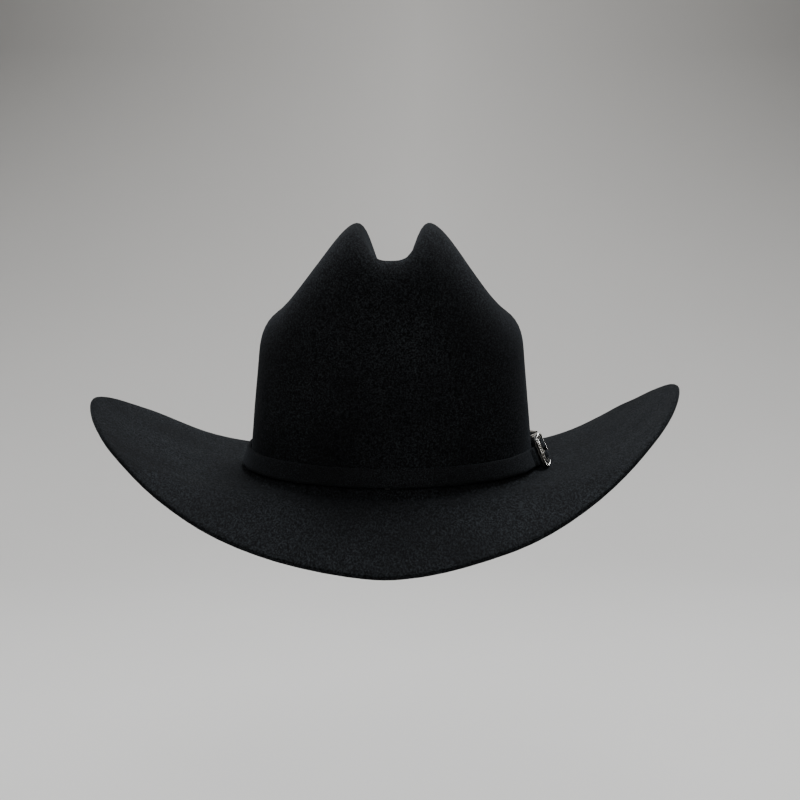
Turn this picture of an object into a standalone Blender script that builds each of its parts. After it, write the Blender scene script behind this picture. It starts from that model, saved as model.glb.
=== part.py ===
"""Black western felt hat: blocked crown and brim, felt hatband with a buckle set, sweatband and lining.

Metres, +Z up. The front of the hat faces -Y and the wearer's left side is +X. The origin is the centre of
the head opening, level with the line where crown and brim meet. Angles round the hat start at the front
and grow towards the wearer's left.
"""

import math

import bmesh
import bpy
import numpy as np
from mathutils import Vector

MM = 0.001

# Felt
FELT_CROWN = 2.4 * MM
FELT_BRIM = 3.0 * MM

# Crown wall: an oval that narrows as it rises
WALL_HALF_WIDTH = 87.5 * MM
WALL_HALF_LENGTH = 107.0 * MM
WALL_POWER = 2.12
TAPER_SIDE = 0.085
TAPER_FRONT = 0.10
TAPER_BACK = 0.13

# Crown top: two ridges with a crease between them and a dent outside each
CROWN_HEIGHT = 155.2 * MM
TOP_SHIFT = 1.2 * MM
RIDGE_PEAK_Y = -28.0 * MM
RIDGE_FALL_FRONT = 3.0
RIDGE_FALL_BACK = 1.6
RIDGE_X = 24.6 * MM
RIDGE_ROUND = 4.6 * MM
SIDE_SLOPE = 1.196
SIDE_EASE = 1.4
SIDE_EASE_X = 35.0 * MM
CREASE_DEPTH = 35.2 * MM
CREASE_HALF_WIDTH = 14.2 * MM
CREASE_POWER = 3.0
CREASE_FRONT = -70.5 * MM
CREASE_BACK = 78.0 * MM
CREASE_FADE = 8.0 * MM
DENT_DEPTH = 8.0 * MM
DENT_X = 58.0 * MM
DENT_HALF_WIDTH = 17.0 * MM
DENT_HALF_LENGTH = 50.0 * MM
SHOULDER_SIDE = 8.6 * MM
SHOULDER_FRONT = 37.8 * MM
RAY_NEAR = 4.0 * MM
RAY_FAR = 150.0 * MM
FRONT_FACE_SCALE = 0.85
FRONT_FACE_X = 30.0 * MM

# Core: the flat oval inside the crown from which the surface is measured
CORE_HEIGHT = 50.0 * MM
CORE_HALF_WIDTH = 50.0 * MM
CORE_HALF_LENGTH = 72.0 * MM
SPINE_HALF_LENGTH = 58.0 * MM

# Turn from wall to brim
FLARE_TOP = 14.0 * MM
FLARE_REACH = 8.5 * MM
FLARE_PULL = 14.0 * MM

# Brim, as cut flat, then rolled up at both sides and dipped at front and back
BRIM_HALF_WIDTH = 191.8 * MM
BRIM_SIDE_SHIFT = -0.014
BRIM_FRONT = 195.9 * MM
BRIM_BACK = 202.5 * MM
BRIM_POWER_LEFT = 1.657
BRIM_POWER_RIGHT = 1.704
ROLL_START = 60.5 * MM
ROLL_ANGLE_LEFT = math.radians(52.2)
ROLL_ANGLE_RIGHT = math.radians(44.65)
ROLL_POWER_LEFT = 1.135
ROLL_POWER_RIGHT = 1.347
BRIM_TILT = 0.0061
DIP_START = 87.9 * MM
DIP_FRONT = 28.7 * MM
DIP_BACK = 31.3 * MM
DIP_POWER = 1.865
EDGE_ROUND = 1.1 * MM

# Stations down the surface: 0 crown spine, 1 core edge, 2 wall top, 3 flare top, 4 flare foot, 5 brim edge
SEGMENTS = 48
TOP_STATIONS = (0.0, 0.11, 0.21, 0.29, 0.37, 0.46, 0.58, 0.78)
SHOULDER_STATIONS = (1.0, 1.12, 1.24, 1.36, 1.5, 1.7)
WALL_STATIONS = (2.0, 2.5)
FLARE_STATIONS = (3.0, 3.3, 3.6)
BRIM_STATIONS = (4.0, 4.2, 4.4, 4.6, 4.8, 5.0)
CROWN_STATIONS = TOP_STATIONS + SHOULDER_STATIONS + WALL_STATIONS
FELT_STATIONS = CROWN_STATIONS + FLARE_STATIONS + BRIM_STATIONS

# Lining, hanging just inside the crown
LINING_DEPTH = 3.0 * MM
LINING_TIP_DEPTH = 3.7 * MM
LINING_THICKNESS = 0.4 * MM
LINING_SEAM = 1.36
LINING_FOOT = 2.7
PIPING_RADIUS = 0.6 * MM
PIPING_GAP = 0.016
SHIELD_FALL = 1.6 * MM
SHIELD_THICKNESS = 0.35 * MM
LINING_TIP_STATIONS = (0.0, 0.6, 1.0, 1.12, 1.24, LINING_SEAM - PIPING_GAP)
LINING_SIDE_STATIONS = (LINING_SEAM + PIPING_GAP, 1.5, 1.7, 2.0, LINING_FOOT)
SHIELD_STATIONS = (0.0, 0.6, 1.0)

# Sweatband and its sewn edge
SWEATBAND_DEPTH = 4.1 * MM
SWEATBAND_THICKNESS = 1.0 * MM
SWEATBAND_FOOT_Z = 4.0 * MM
SWEATBAND_TOP_Z = 50.0 * MM
SEAM_HALF_ANGLE = math.radians(0.35)
REED_RADIUS = 0.8 * MM
REED_DEPTH = 4.6 * MM
REED_Z = 1.6 * MM
TAPE_THICKNESS = 0.35 * MM
TAPE_GAP = 0.35 * MM
TAPE_FLANGE_Z = 8.0 * MM
TAPE_FLANGE_DEPTH = 3.1 * MM
THREAD_RADIUS = 0.3 * MM
SEAM_TAPE_HALF_ANGLE = math.radians(5.0)
SEAM_TAPE_BOTTOM_Z = 10.0 * MM
SEAM_TAPE_TOP_Z = 22.0 * MM
SEAM_TAPE_DEPTH = 3.1 * MM
SEAM_TAPE_THICKNESS = 0.5 * MM

# Ribbon bow on the back seam
BOW_Z = 15.0 * MM
BOW_HALF_WIDTH = 13.0 * MM
BOW_HALF_HEIGHT = 4.5 * MM
BOW_WAIST = 1.6 * MM
BOW_THICKNESS = 1.8 * MM
BOW_GAP = 1.2 * MM
KNOT_HALF_WIDTH = 2.3 * MM
KNOT_THICKNESS = 0.8 * MM
KNOT_GAP = 1.35 * MM

# Hatband strap; distances along it are measured from the buckle's bar, backwards on the left side
BAND_TOP_STATION = 2.98
BAND_FOOT_STATION = 3.54
BAND_HALF_HEIGHT = 5.6 * MM
STRAP_THICKNESS = 1.8 * MM
STRAP_GAP = 0.65 * MM
STRAP_EASE = 2.3 * MM
LAYER_GAP = 0.4 * MM
BAR_ANGLE = math.radians(83.0)
STRAP_START = 4.6 * MM
STRAP_END = 52.0 * MM
STRAP_STEP = 12.0 * MM
STRAP_FINE_STEP = 3.0 * MM
STRAP_END_STEP = 2.2 * MM
STRAP_BEVEL = 0.4 * MM
LIFT_START = (-30.0 * MM, -22.0 * MM)
LIFT_END = (34.0 * MM, 43.0 * MM)
LAP_RISE = (-14.5 * MM, -3.0 * MM)
LAP_FALL = (11.2 * MM, 18.0 * MM)
LAP_NARROW = (-22.0 * MM, -12.0 * MM)
LAP_FROM = 26.0 * MM
START_UNTIL = 44.0 * MM
FREE_END_HALF_HEIGHT = 5.1 * MM
CREST_HEIGHT = 6.2 * MM

# Buckle set
BAR_RADIUS = 0.8 * MM
BAR_HEIGHT = 3.9 * MM
FRAME_LENGTH = 22.0 * MM
FRAME_HEIGHT = 19.5 * MM
FRAME_RAIL = 3.2 * MM
FRAME_FRONT_EXTRA = 2.6 * MM
FRAME_THICKNESS = 2.6 * MM
FRAME_BASE = 4.5 * MM
FRAME_SHIFT = 0.7 * MM
TONGUE_EYE_INNER = 1.15 * MM
TONGUE_EYE_OUTER = 1.85 * MM
TONGUE_WIDTH = 2.0 * MM
TONGUE_THICKNESS = 1.0 * MM
TONGUE_REACH = 20.6 * MM
TONGUE_REST_GAP = 0.35 * MM
TONGUE_ARM_START = 3.2 * MM
SLOT_FRONT = -11.0 * MM
SLOT_REAR = 3.2 * MM
SLOT_WIDTH = 3.4 * MM
SLOT_CORNER = 1.2 * MM
GUIDE_LOW = 0.2 * MM
GUIDE_HIGH = 12.0 * MM
CHAPE_THICKNESS = 0.7 * MM
CHAPE_HALF_HEIGHT = 4.6 * MM
CHAPE_TAIL = 10.2 * MM
CHAPE_SLOT_WIDTH = 3.2 * MM
CHAPE_BEND_GAP = 0.4 * MM
CHAPE_REST_GAP = 0.35 * MM
STITCH_PLACE = 8.8 * MM
STITCH_HALF_WIDTH = 3.2 * MM
STITCH_RADIUS = 0.2 * MM
KEEPER_CENTRE = 24.5 * MM
KEEPER_LENGTH = 5.0 * MM
KEEPER_HALF_HEIGHT = 7.1 * MM
KEEPER_BACK = 0.6 * MM
KEEPER_FRONT = 1.5 * MM
KEEPER_CLEARANCE = 0.35 * MM
TIP_START = 36.0 * MM
TIP_LENGTH = 20.0 * MM
TIP_HALF_HEIGHT = 6.4 * MM
TIP_THICKNESS = 1.9 * MM
TIP_GAP = 0.35 * MM
PIN_RADIUS = 0.7 * MM
PIN_HOLE_RADIUS = 1.1 * MM
PIN_PLACES = (40.0 * MM, 47.5 * MM)
TACK_HALF_WIDTH = 1.2 * MM
TACK_RADIUS = 0.3 * MM

FULL_TURN = 2.0 * math.pi
MERGE = 0.000001


# Surface of the hat ---------------------------------------------------------------------------------

def oval(angle, half_width, half_length, power):
    """Point of an oval at an angle from the front."""
    side = np.sin(angle)
    ahead = np.cos(angle)
    reach = ((np.abs(side) / half_width) ** power + (np.abs(ahead) / half_length) ** power) ** (-1.0 / power)
    return np.stack([side * reach, -ahead * reach], axis=-1)


def wall_size(y, z):
    """Half width and half length of the crown's oval at a height."""
    up = np.maximum(z, 0.0)
    taper = np.where(y < 0.0, TAPER_FRONT, TAPER_BACK)
    return WALL_HALF_WIDTH - TAPER_SIDE * up, WALL_HALF_LENGTH - taper * up


def crown_top(x, y):
    """Height of the creased top over a point of the plan."""
    out = np.abs(x - TOP_SHIFT)
    along = y - RIDGE_PEAK_Y
    ridge = CROWN_HEIGHT - np.where(along > 0.0, RIDGE_FALL_BACK, RIDGE_FALL_FRONT) * along ** 2
    side = SIDE_SLOPE * RIDGE_ROUND * np.logaddexp(0.0, (out - RIDGE_X) / RIDGE_ROUND)
    ease = SIDE_EASE * np.maximum(out - SIDE_EASE_X, 0.0) ** 2
    front_end = 1.0 / (1.0 + np.exp((CREASE_FRONT - y) / CREASE_FADE))
    back_end = 1.0 / (1.0 + np.exp((y - CREASE_BACK) / CREASE_FADE))
    crease = CREASE_DEPTH * front_end * back_end * np.exp(-(out / CREASE_HALF_WIDTH) ** CREASE_POWER)
    dent = DENT_DEPTH * np.exp(-((out - DENT_X) / DENT_HALF_WIDTH) ** 2 - np.abs(y / DENT_HALF_LENGTH) ** 3)
    return ridge - side + ease - crease - dent


def crown_field(points):
    """Negative inside the crown and positive outside: its wall and its top, joined by a round shoulder."""
    x, y, z = points[..., 0], points[..., 1], points[..., 2]
    half_width, half_length = wall_size(y, z)
    rho = (np.abs(x / half_width) ** WALL_POWER + np.abs(y / half_length) ** WALL_POWER) ** (1.0 / WALL_POWER)
    plan = np.hypot(x, y) + MERGE
    wall = plan - plan / np.maximum(rho, MERGE)
    slope = np.where(np.abs(x) > FRONT_FACE_X, 1.0 / math.hypot(1.0, SIDE_SLOPE), FRONT_FACE_SCALE)
    top = (z - crown_top(x, y)) * slope
    blend = SHOULDER_SIDE + (SHOULDER_FRONT - SHOULDER_SIDE) * (y / plan) ** 2
    share = np.clip(0.5 + 0.5 * (wall - top) / blend, 0.0, 1.0)
    return top * (1.0 - share) + wall * share + blend * share * (1.0 - share)


def crown_hit(start, direction):
    """Point where a ray from inside the crown meets its surface."""
    near = np.full(start.shape[:-1] + (1,), RAY_NEAR)
    far = np.full(start.shape[:-1] + (1,), RAY_FAR)
    for _ in range(36):
        middle = 0.5 * (near + far)
        outside = crown_field(start + direction * middle)[..., None] > 0.0
        far = np.where(outside, middle, far)
        near = np.where(outside, near, middle)
    return start + direction * near


def roll_curve(angle, power, across):
    """Sideways reach and rise of the rolled brim, keeping its length, with its slope at the given width."""
    steps = np.linspace(0.0, 1.1 * BRIM_HALF_WIDTH, 221)
    share = np.maximum(steps - ROLL_START, 0.0) / (BRIM_HALF_WIDTH - ROLL_START)
    slope = angle * share ** power
    middle = 0.5 * (slope[1:] + slope[:-1])
    reach = np.concatenate([[0.0], np.cumsum(np.cos(middle) * np.diff(steps))])
    rise = np.concatenate([[0.0], np.cumsum(np.sin(middle) * np.diff(steps))])
    return np.interp(across, steps, reach), np.interp(across, steps, rise)


def brim_shape(flat):
    """Roll and dip a point of the flat brim."""
    x, y = flat[..., 0], flat[..., 1]
    left_reach, left_rise = roll_curve(ROLL_ANGLE_LEFT, ROLL_POWER_LEFT, np.abs(x))
    right_reach, right_rise = roll_curve(ROLL_ANGLE_RIGHT, ROLL_POWER_RIGHT, np.abs(x))
    reach = np.where(x > 0.0, left_reach, -right_reach)
    rise = np.where(x > 0.0, left_rise, right_rise)
    length = np.where(y < 0.0, BRIM_FRONT, BRIM_BACK)
    depth = np.where(y < 0.0, DIP_FRONT, DIP_BACK)
    share = np.maximum(np.abs(y) - DIP_START, 0.0) / (length - DIP_START)
    return np.stack([reach, y, rise - depth * share ** DIP_POWER + BRIM_TILT * reach], axis=-1)


def brim_flat(angle, share):
    """Point of the flat brim between the head oval and the cut edge."""
    length = np.where(np.cos(angle) > 0.0, BRIM_FRONT, BRIM_BACK)
    left = np.sin(angle) > 0.0
    width = BRIM_HALF_WIDTH * (1.0 + np.where(left, BRIM_SIDE_SHIFT, -BRIM_SIDE_SHIFT))
    inner = oval(angle, WALL_HALF_WIDTH, WALL_HALF_LENGTH, WALL_POWER)
    outer = oval(angle, width, length, np.where(left, BRIM_POWER_LEFT, BRIM_POWER_RIGHT))
    return inner + (outer - inner) * share


def flare_share(angle):
    """Share of the brim's width that the turn from wall to brim takes up."""
    width = np.linalg.norm(brim_flat(angle, 1.0) - brim_flat(angle, 0.0), axis=-1)
    return (FLARE_REACH / width)[..., None]


def wall_point(angle, height):
    """Point of the crown's outer wall at a height."""
    edge = oval(angle, CORE_HALF_WIDTH, CORE_HALF_LENGTH, WALL_POWER)
    outward = oval(angle, WALL_HALF_WIDTH, WALL_HALF_LENGTH, WALL_POWER) - edge
    outward = outward / np.linalg.norm(outward, axis=-1, keepdims=True)
    start = np.concatenate([edge, np.full(edge.shape[:-1] + (1,), height)], axis=-1)
    direction = np.concatenate([outward, np.zeros(edge.shape[:-1] + (1,))], axis=-1)
    return crown_hit(start, direction)


def outer_surface(angle, station):
    """Outer or upper face of the felt at an angle and a station."""
    edge = oval(angle, CORE_HALF_WIDTH, CORE_HALF_LENGTH, WALL_POWER)
    level = np.full(edge.shape[:-1] + (1,), CORE_HEIGHT)
    if station < 1.0:
        spine = np.stack([0.0 * angle, -SPINE_HALF_LENGTH * np.cos(angle)], axis=-1)
        start = np.concatenate([spine + (edge - spine) * station, level], axis=-1)
        return crown_hit(start, np.broadcast_to([0.0, 0.0, 1.0], start.shape))
    if station < 2.0:
        turn = 0.5 * math.pi * (2.0 - station)
        outward = oval(angle, WALL_HALF_WIDTH, WALL_HALF_LENGTH, WALL_POWER) - edge
        outward = outward / np.linalg.norm(outward, axis=-1, keepdims=True)
        direction = np.concatenate([outward * math.cos(turn), 0.0 * level + math.sin(turn)], axis=-1)
        return crown_hit(np.concatenate([edge, level], axis=-1), direction)
    if station < 3.0:
        return wall_point(angle, CORE_HEIGHT + (FLARE_TOP - CORE_HEIGHT) * (station - 2.0))
    foot = flare_share(angle)
    if station < 4.0:
        t = station - 3.0
        top = wall_point(angle, FLARE_TOP)
        down = top - wall_point(angle, FLARE_TOP + MM)
        base = brim_shape(brim_flat(angle, foot))
        out = brim_shape(brim_flat(angle, foot + 0.01)) - base
        down = down / np.linalg.norm(down, axis=-1, keepdims=True) * FLARE_PULL
        out = out / np.linalg.norm(out, axis=-1, keepdims=True) * FLARE_PULL
        return ((2 * t ** 3 - 3 * t ** 2 + 1) * top + (t ** 3 - 2 * t ** 2 + t) * down
                + (3 * t ** 2 - 2 * t ** 3) * base + (t ** 3 - t ** 2) * out)
    return brim_shape(brim_flat(angle, foot + (1.0 - foot) * (station - 4.0)))


def outer_normal(angle, station):
    """Outward direction of the felt's outer face."""
    point = outer_surface(angle, station)
    if station < 3.0:
        step = 0.5 * MM
        axes = np.eye(3) * step
        normal = np.stack([crown_field(point + a) - crown_field(point - a) for a in axes], axis=-1)
    else:
        ahead = outer_surface(angle + 0.01, station) - outer_surface(angle - 0.01, station)
        low = max(station - 0.02, 3.0)
        high = min(station + 0.02, 5.0)
        down = outer_surface(angle, high) - outer_surface(angle, low)
        normal = np.cross(down, ahead)
    return normal / np.linalg.norm(normal, axis=-1, keepdims=True)


def felt_thickness(station):
    """Thickness of the felt: thinner on the crown than on the brim."""
    share = min(max(station - 3.0, 0.0), 1.0)
    return FELT_CROWN + (FELT_BRIM - FELT_CROWN) * share


def ring_at(angle, station, depth):
    """Ring of points a given depth below the outer face."""
    return outer_surface(angle, station) - outer_normal(angle, station) * depth


def inside_ring(angle, height, depth):
    """Ring inside the crown at a height, a given depth inwards from the outer wall, measured level."""
    half_width, half_length = wall_size(-np.cos(angle), height)
    plan = oval(angle, half_width - depth, half_length - depth, WALL_POWER)
    return np.concatenate([plan, np.full(plan.shape[:-1] + (1,), height)], axis=-1)


# Meshes ---------------------------------------------------------------------------------------------

def fold_alike(bm, rows, levels):
    """Split every quad from its lower level and column to its higher ones, so that nested sheets fold alike."""
    for face in list(bm.faces):
        corners = [(levels[rows[vertex][0]], rows[vertex][1], vertex) for vertex in face.verts]
        first = min(corner[1] for corner in corners)
        last = max(corner[1] for corner in corners)
        if last - first > 1:
            first, last = last, first
        low = min(corner[0] for corner in corners)
        start = [corner[2] for corner in corners if corner[0] == low and corner[1] == first]
        end = [corner[2] for corner in corners if corner[0] > low and corner[1] == last]
        if len(start) == 1 and len(end) == 1:
            bmesh.utils.face_split(face, start[0], end[0])


def lay_mesh(grid, section_closed, path_closed, levels=None):
    """Spin a section of one vertex per row of the grid, then lay each vertex on its place in the grid."""
    rows, columns = grid.shape[:2]
    turn = FULL_TURN if path_closed else 0.25 * FULL_TURN
    steps = columns if path_closed else columns - 1
    bm = bmesh.new()
    section = [bm.verts.new((row + 1.0, 0.0, 0.0)) for row in range(rows)]
    edges = [bm.edges.new(pair) for pair in zip(section, section[1:])]
    if section_closed:
        edges.append(bm.edges.new((section[-1], section[0])))
    bmesh.ops.spin(bm, geom=section + edges, cent=(0.0, 0.0, 0.0), axis=(0.0, 0.0, 1.0), angle=turn,
                   steps=steps, use_merge=path_closed, use_duplicate=False)
    places = {}
    for vertex in bm.verts:
        row = round(vertex.co.xy.length) - 1
        column = round(math.atan2(vertex.co.y, vertex.co.x) / turn * steps) % (steps + (not path_closed))
        places[vertex] = (row, column)
        vertex.co = Vector(grid[row, column])
    if levels is not None:
        fold_alike(bm, places, levels)
    bmesh.ops.remove_doubles(bm, verts=bm.verts, dist=MERGE)
    open_edges = [edge for edge in bm.edges if edge.is_boundary]
    if open_edges:
        bmesh.ops.holes_fill(bm, edges=open_edges)
    bmesh.ops.recalc_face_normals(bm, faces=bm.faces)
    return bm


def finish_object(name, bm, material, origin=None, sharp=math.radians(40.0)):
    """Turn a bmesh into a named object with its own material and its origin at a given place."""
    if bm.calc_volume(signed=True) < 0.0:
        bmesh.ops.reverse_faces(bm, faces=bm.faces)
    place = Vector(origin) if origin is not None else Vector((0.0, 0.0, 0.0))
    bmesh.ops.translate(bm, verts=bm.verts, vec=-place)
    mesh = bpy.data.meshes.new(name)
    bm.to_mesh(mesh)
    bm.free()
    mesh.shade_smooth()
    mesh.set_sharp_from_angle(angle=sharp)
    mesh.materials.append(material)
    item = bpy.data.objects.new(name, mesh)
    item.location = place
    bpy.context.collection.objects.link(item)
    return item


def make_material(name, colour, roughness, metallic=0.0):
    """Plain material of one colour."""
    material = bpy.data.materials.new(name)
    material.use_nodes = True
    shader = material.node_tree.nodes["Principled BSDF"]
    shader.inputs["Base Color"].default_value = (*colour, 1.0)
    shader.inputs["Roughness"].default_value = roughness
    shader.inputs["Metallic"].default_value = metallic
    return material


def cut(item, cutters):
    """Cut shapes out of an object; the cutters stay as hidden guides."""
    for cutter in cutters:
        cutter.hide_render = True
        cutter.display_type = "WIRE"
        modifier = item.modifiers.new(cutter.name, "BOOLEAN")
        modifier.operation = "DIFFERENCE"
        modifier.solver = "EXACT"
        modifier.object = cutter


def cord_grid(centres, side, up, radius, sides=5):
    """Rows of points round a cord that follows the given centres."""
    rows = []
    for index in range(sides):
        turn = FULL_TURN * index / sides
        rows.append(centres + radius * (math.cos(turn) * side + math.sin(turn) * up))
    return np.stack(rows)


# Felt body and lining -------------------------------------------------------------------------------

def full_circle(count=SEGMENTS):
    """Angles of one full turn, starting at the front."""
    return np.arange(count) * FULL_TURN / count


def felt_body(material):
    """Crown and brim, one piece of felt with a rounded cut edge."""
    angle = full_circle()
    outer = [outer_surface(angle, s) for s in FELT_STATIONS]
    inner = [ring_at(angle, s, felt_thickness(s)) for s in reversed(FELT_STATIONS)]
    outward = outer[-1] - outer_surface(angle, 4.98)
    outward = outward / np.linalg.norm(outward, axis=-1, keepdims=True)
    rim = 0.5 * (outer[-1] + inner[0]) + outward * EDGE_ROUND
    levels = FELT_STATIONS + (6.0,) + FELT_STATIONS[::-1]
    bm = lay_mesh(np.stack(outer + [rim] + inner), section_closed=False, path_closed=True, levels=levels)
    return finish_object("felt_body", bm, material, sharp=math.radians(60.0))


def lining_ring(angle, station, depth):
    """Ring of the lining: along the felt from the core edge down, level with the crease under the ridges."""
    if station >= 1.0:
        return ring_at(angle, station, depth)
    spine = ring_at(angle, 0.0, depth)
    ring = spine + (ring_at(angle, 1.0, depth) - spine) * station
    ring[:, 2] = spine[:, 2]
    return ring


def lining_under(angle, station, depth, thickness):
    """Lower face of a lining ring: straight below the upper one over the top, square to the felt elsewhere."""
    if station > 1.0:
        return ring_at(angle, station, depth + thickness)
    ring = lining_ring(angle, station, depth)
    ring[:, 2] -= thickness
    return ring


def lining_sheet(name, material, stations, depth, thickness, fall=0.0):
    """Thin sheet that hangs inside the crown, with an upper and a lower face, let down by a fall."""
    angle = full_circle()
    down = np.array([0.0, 0.0, fall])
    upper = [lining_ring(angle, s, depth) - down for s in stations]
    lower = [lining_under(angle, s, depth, thickness) - down for s in reversed(stations)]
    levels = stations + stations[::-1]
    bm = lay_mesh(np.stack(upper + lower), stations[0] > 0.0, path_closed=True, levels=levels)
    return finish_object(name, bm, material)


def lining_piping(material):
    """Piped seam between the lining's top and its side."""
    angle = full_circle()
    normal = outer_normal(angle, LINING_SEAM)
    centres = ring_at(angle, LINING_SEAM, LINING_DEPTH + PIPING_RADIUS)
    ahead = np.roll(centres, -1, axis=0) - np.roll(centres, 1, axis=0)
    ahead = ahead / np.linalg.norm(ahead, axis=-1, keepdims=True)
    grid = cord_grid(centres, normal, np.cross(ahead, normal), PIPING_RADIUS)
    return finish_object("lining_piping", lay_mesh(grid, True, True), material)


# Sweatband ------------------------------------------------------------------------------------------

def band_strip(name, material, angle, profile, closed):
    """Strip inside the crown with a closed profile of (height, depth) points."""
    rows = [inside_ring(angle, height, depth) for height, depth in profile]
    bm = lay_mesh(np.stack(rows), section_closed=True, path_closed=closed)
    return finish_object(name, bm, material)


def sweatband(material):
    """Leather band, cut at the back."""
    cut_angle = math.pi + SEAM_HALF_ANGLE
    angle = np.linspace(cut_angle, cut_angle + FULL_TURN - 2.0 * SEAM_HALF_ANGLE, SEGMENTS + 1)
    near = SWEATBAND_DEPTH
    far = SWEATBAND_DEPTH + SWEATBAND_THICKNESS
    middle = 0.5 * (SWEATBAND_FOOT_Z + SWEATBAND_TOP_Z)
    profile = [(SWEATBAND_FOOT_Z, near), (middle, near), (SWEATBAND_TOP_Z, near),
               (SWEATBAND_TOP_Z, far), (middle, far), (SWEATBAND_FOOT_Z, far)]
    return band_strip("sweatband", material, angle, profile, closed=False)


def round_profile(height, depth, radius, sides):
    """Closed round profile about a point given by height and depth."""
    turns = [FULL_TURN * index / sides for index in range(sides)]
    return [(height + radius * math.sin(turn), depth + radius * math.cos(turn)) for turn in turns]


def reed_tape(material):
    """Cloth tape folded under the reed, with a flange up behind the leather."""
    hug = REED_RADIUS + TAPE_GAP
    shell = hug + TAPE_THICKNESS
    arc = [math.radians(turn) for turn in (180.0, 240.0, 300.0, 360.0)]
    outer_arc = [(REED_Z + shell * math.sin(turn), REED_DEPTH + shell * math.cos(turn)) for turn in arc]
    inner_arc = [(REED_Z + hug * math.sin(turn), REED_DEPTH + hug * math.cos(turn)) for turn in reversed(arc)]
    flange = [(TAPE_FLANGE_Z, TAPE_FLANGE_DEPTH + TAPE_THICKNESS), (TAPE_FLANGE_Z, TAPE_FLANGE_DEPTH)]
    return band_strip("reed_tape", material, full_circle(), outer_arc + inner_arc + flange, closed=True)


def back_seam_tape(material):
    """Narrow strip behind the sweatband's seam."""
    angle = np.linspace(math.pi - SEAM_TAPE_HALF_ANGLE, math.pi + SEAM_TAPE_HALF_ANGLE, 5)
    far = SEAM_TAPE_DEPTH + SEAM_TAPE_THICKNESS
    profile = [(SEAM_TAPE_BOTTOM_Z, SEAM_TAPE_DEPTH), (SEAM_TAPE_TOP_Z, SEAM_TAPE_DEPTH),
               (SEAM_TAPE_TOP_Z, far), (SEAM_TAPE_BOTTOM_Z, far)]
    return band_strip("back_seam_tape", material, angle, profile, closed=False)


def sweatband_thread(material):
    """Row of stitches that joins the tape to the felt, laid as one running thread."""
    profile = round_profile(REED_Z - 1.5 * MM, TAPE_FLANGE_DEPTH - 0.4 * MM, THREAD_RADIUS, 4)
    return band_strip("sweatband_thread", material, full_circle(), profile, closed=True)


def bow_face():
    """Height of the bow's seat: the inner face of the sweatband at the back seam."""
    seat = inside_ring(np.array([math.pi]), BOW_Z, SWEATBAND_DEPTH + SWEATBAND_THICKNESS)[0]
    return seat[1] - BOW_GAP


def bow_ribbon(material):
    """Two flat loops that narrow to a waist."""
    face = bow_face()
    across = np.linspace(-BOW_HALF_WIDTH, BOW_HALF_WIDTH, 13)
    spread = np.abs(across) / BOW_HALF_WIDTH
    half_height = BOW_WAIST + (BOW_HALF_HEIGHT - BOW_WAIST) * np.sin(0.5 * math.pi * spread ** 0.8)
    swell = BOW_THICKNESS * (0.35 + 0.65 * np.sin(math.pi * np.clip(spread, 0.0, 0.93)))
    back = face - 0.5 * across ** 2 / WALL_HALF_WIDTH
    rows = []
    for lift, depth in ((-1.0, 0.0), (1.0, 0.0), (0.8, 1.0), (-0.8, 1.0)):
        rows.append(np.stack([across, back - depth * swell, BOW_Z + lift * half_height], axis=-1))
    return finish_object("bow_ribbon", lay_mesh(np.stack(rows), True, False), material)


def bow_knot(material):
    """Ribbon wrapped over the bow's waist."""
    face = bow_face() - 0.35 * BOW_THICKNESS - KNOT_GAP
    across = np.linspace(-KNOT_HALF_WIDTH, KNOT_HALF_WIDTH, 5)
    rise = KNOT_THICKNESS * np.cos(0.4 * math.pi * across / KNOT_HALF_WIDTH)
    rows = []
    for lift, depth in ((-1.0, 0.0), (1.0, 0.0), (0.8, 1.0), (-0.8, 1.0)):
        height = BOW_Z + lift * (BOW_WAIST + KNOT_THICKNESS)
        rows.append(np.stack([across, face - depth * rise, 0.0 * across + height], axis=-1))
    return finish_object("bow_knot", lay_mesh(np.stack(rows), True, False), material)


# Hatband and buckle set -----------------------------------------------------------------------------

def seat_points(angle):
    """Foot and top of the strap's seat on the felt."""
    return outer_surface(angle, BAND_FOOT_STATION), outer_surface(angle, BAND_TOP_STATION)


def seat_length(angle):
    """Distance along the strap's seat from the buckle's bar to an angle, sampled once round."""
    foot, top = seat_points(angle)
    middle = 0.5 * (foot + top)
    return np.concatenate([[0.0], np.cumsum(np.linalg.norm(np.diff(middle, axis=0), axis=-1))])


SEAT_ANGLES = np.linspace(BAR_ANGLE - 0.6, BAR_ANGLE + FULL_TURN + 0.9, 1500)
SEAT_LENGTHS = seat_length(SEAT_ANGLES)
BAR_LENGTH = float(np.interp(BAR_ANGLE, SEAT_ANGLES, SEAT_LENGTHS))
LAP_LENGTH = float(np.interp(BAR_ANGLE + FULL_TURN, SEAT_ANGLES, SEAT_LENGTHS)) - BAR_LENGTH


def strap_place(along):
    """Angle at a distance along the strap from the bar."""
    return np.interp(np.asarray(along) + BAR_LENGTH, SEAT_LENGTHS, SEAT_ANGLES)


def on_strap(along, up, out):
    """World point at a distance along the strap, up it from its middle, and out from its seat."""
    angle = strap_place(along)
    foot, top = seat_points(angle)
    before = seat_points(angle - 0.01)
    after = seat_points(angle + 0.01)
    ahead = (after[0] + after[1]) - (before[0] + before[1])
    rise = (top - foot) / np.linalg.norm(top - foot, axis=-1, keepdims=True)
    ahead = ahead / np.linalg.norm(ahead, axis=-1, keepdims=True)
    outward = np.cross(ahead, rise)
    outward = outward / np.linalg.norm(outward, axis=-1, keepdims=True)
    up = np.asarray(up)[..., None]
    out = np.asarray(out)[..., None]
    return 0.5 * (foot + top) + rise * up + outward * out


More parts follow.
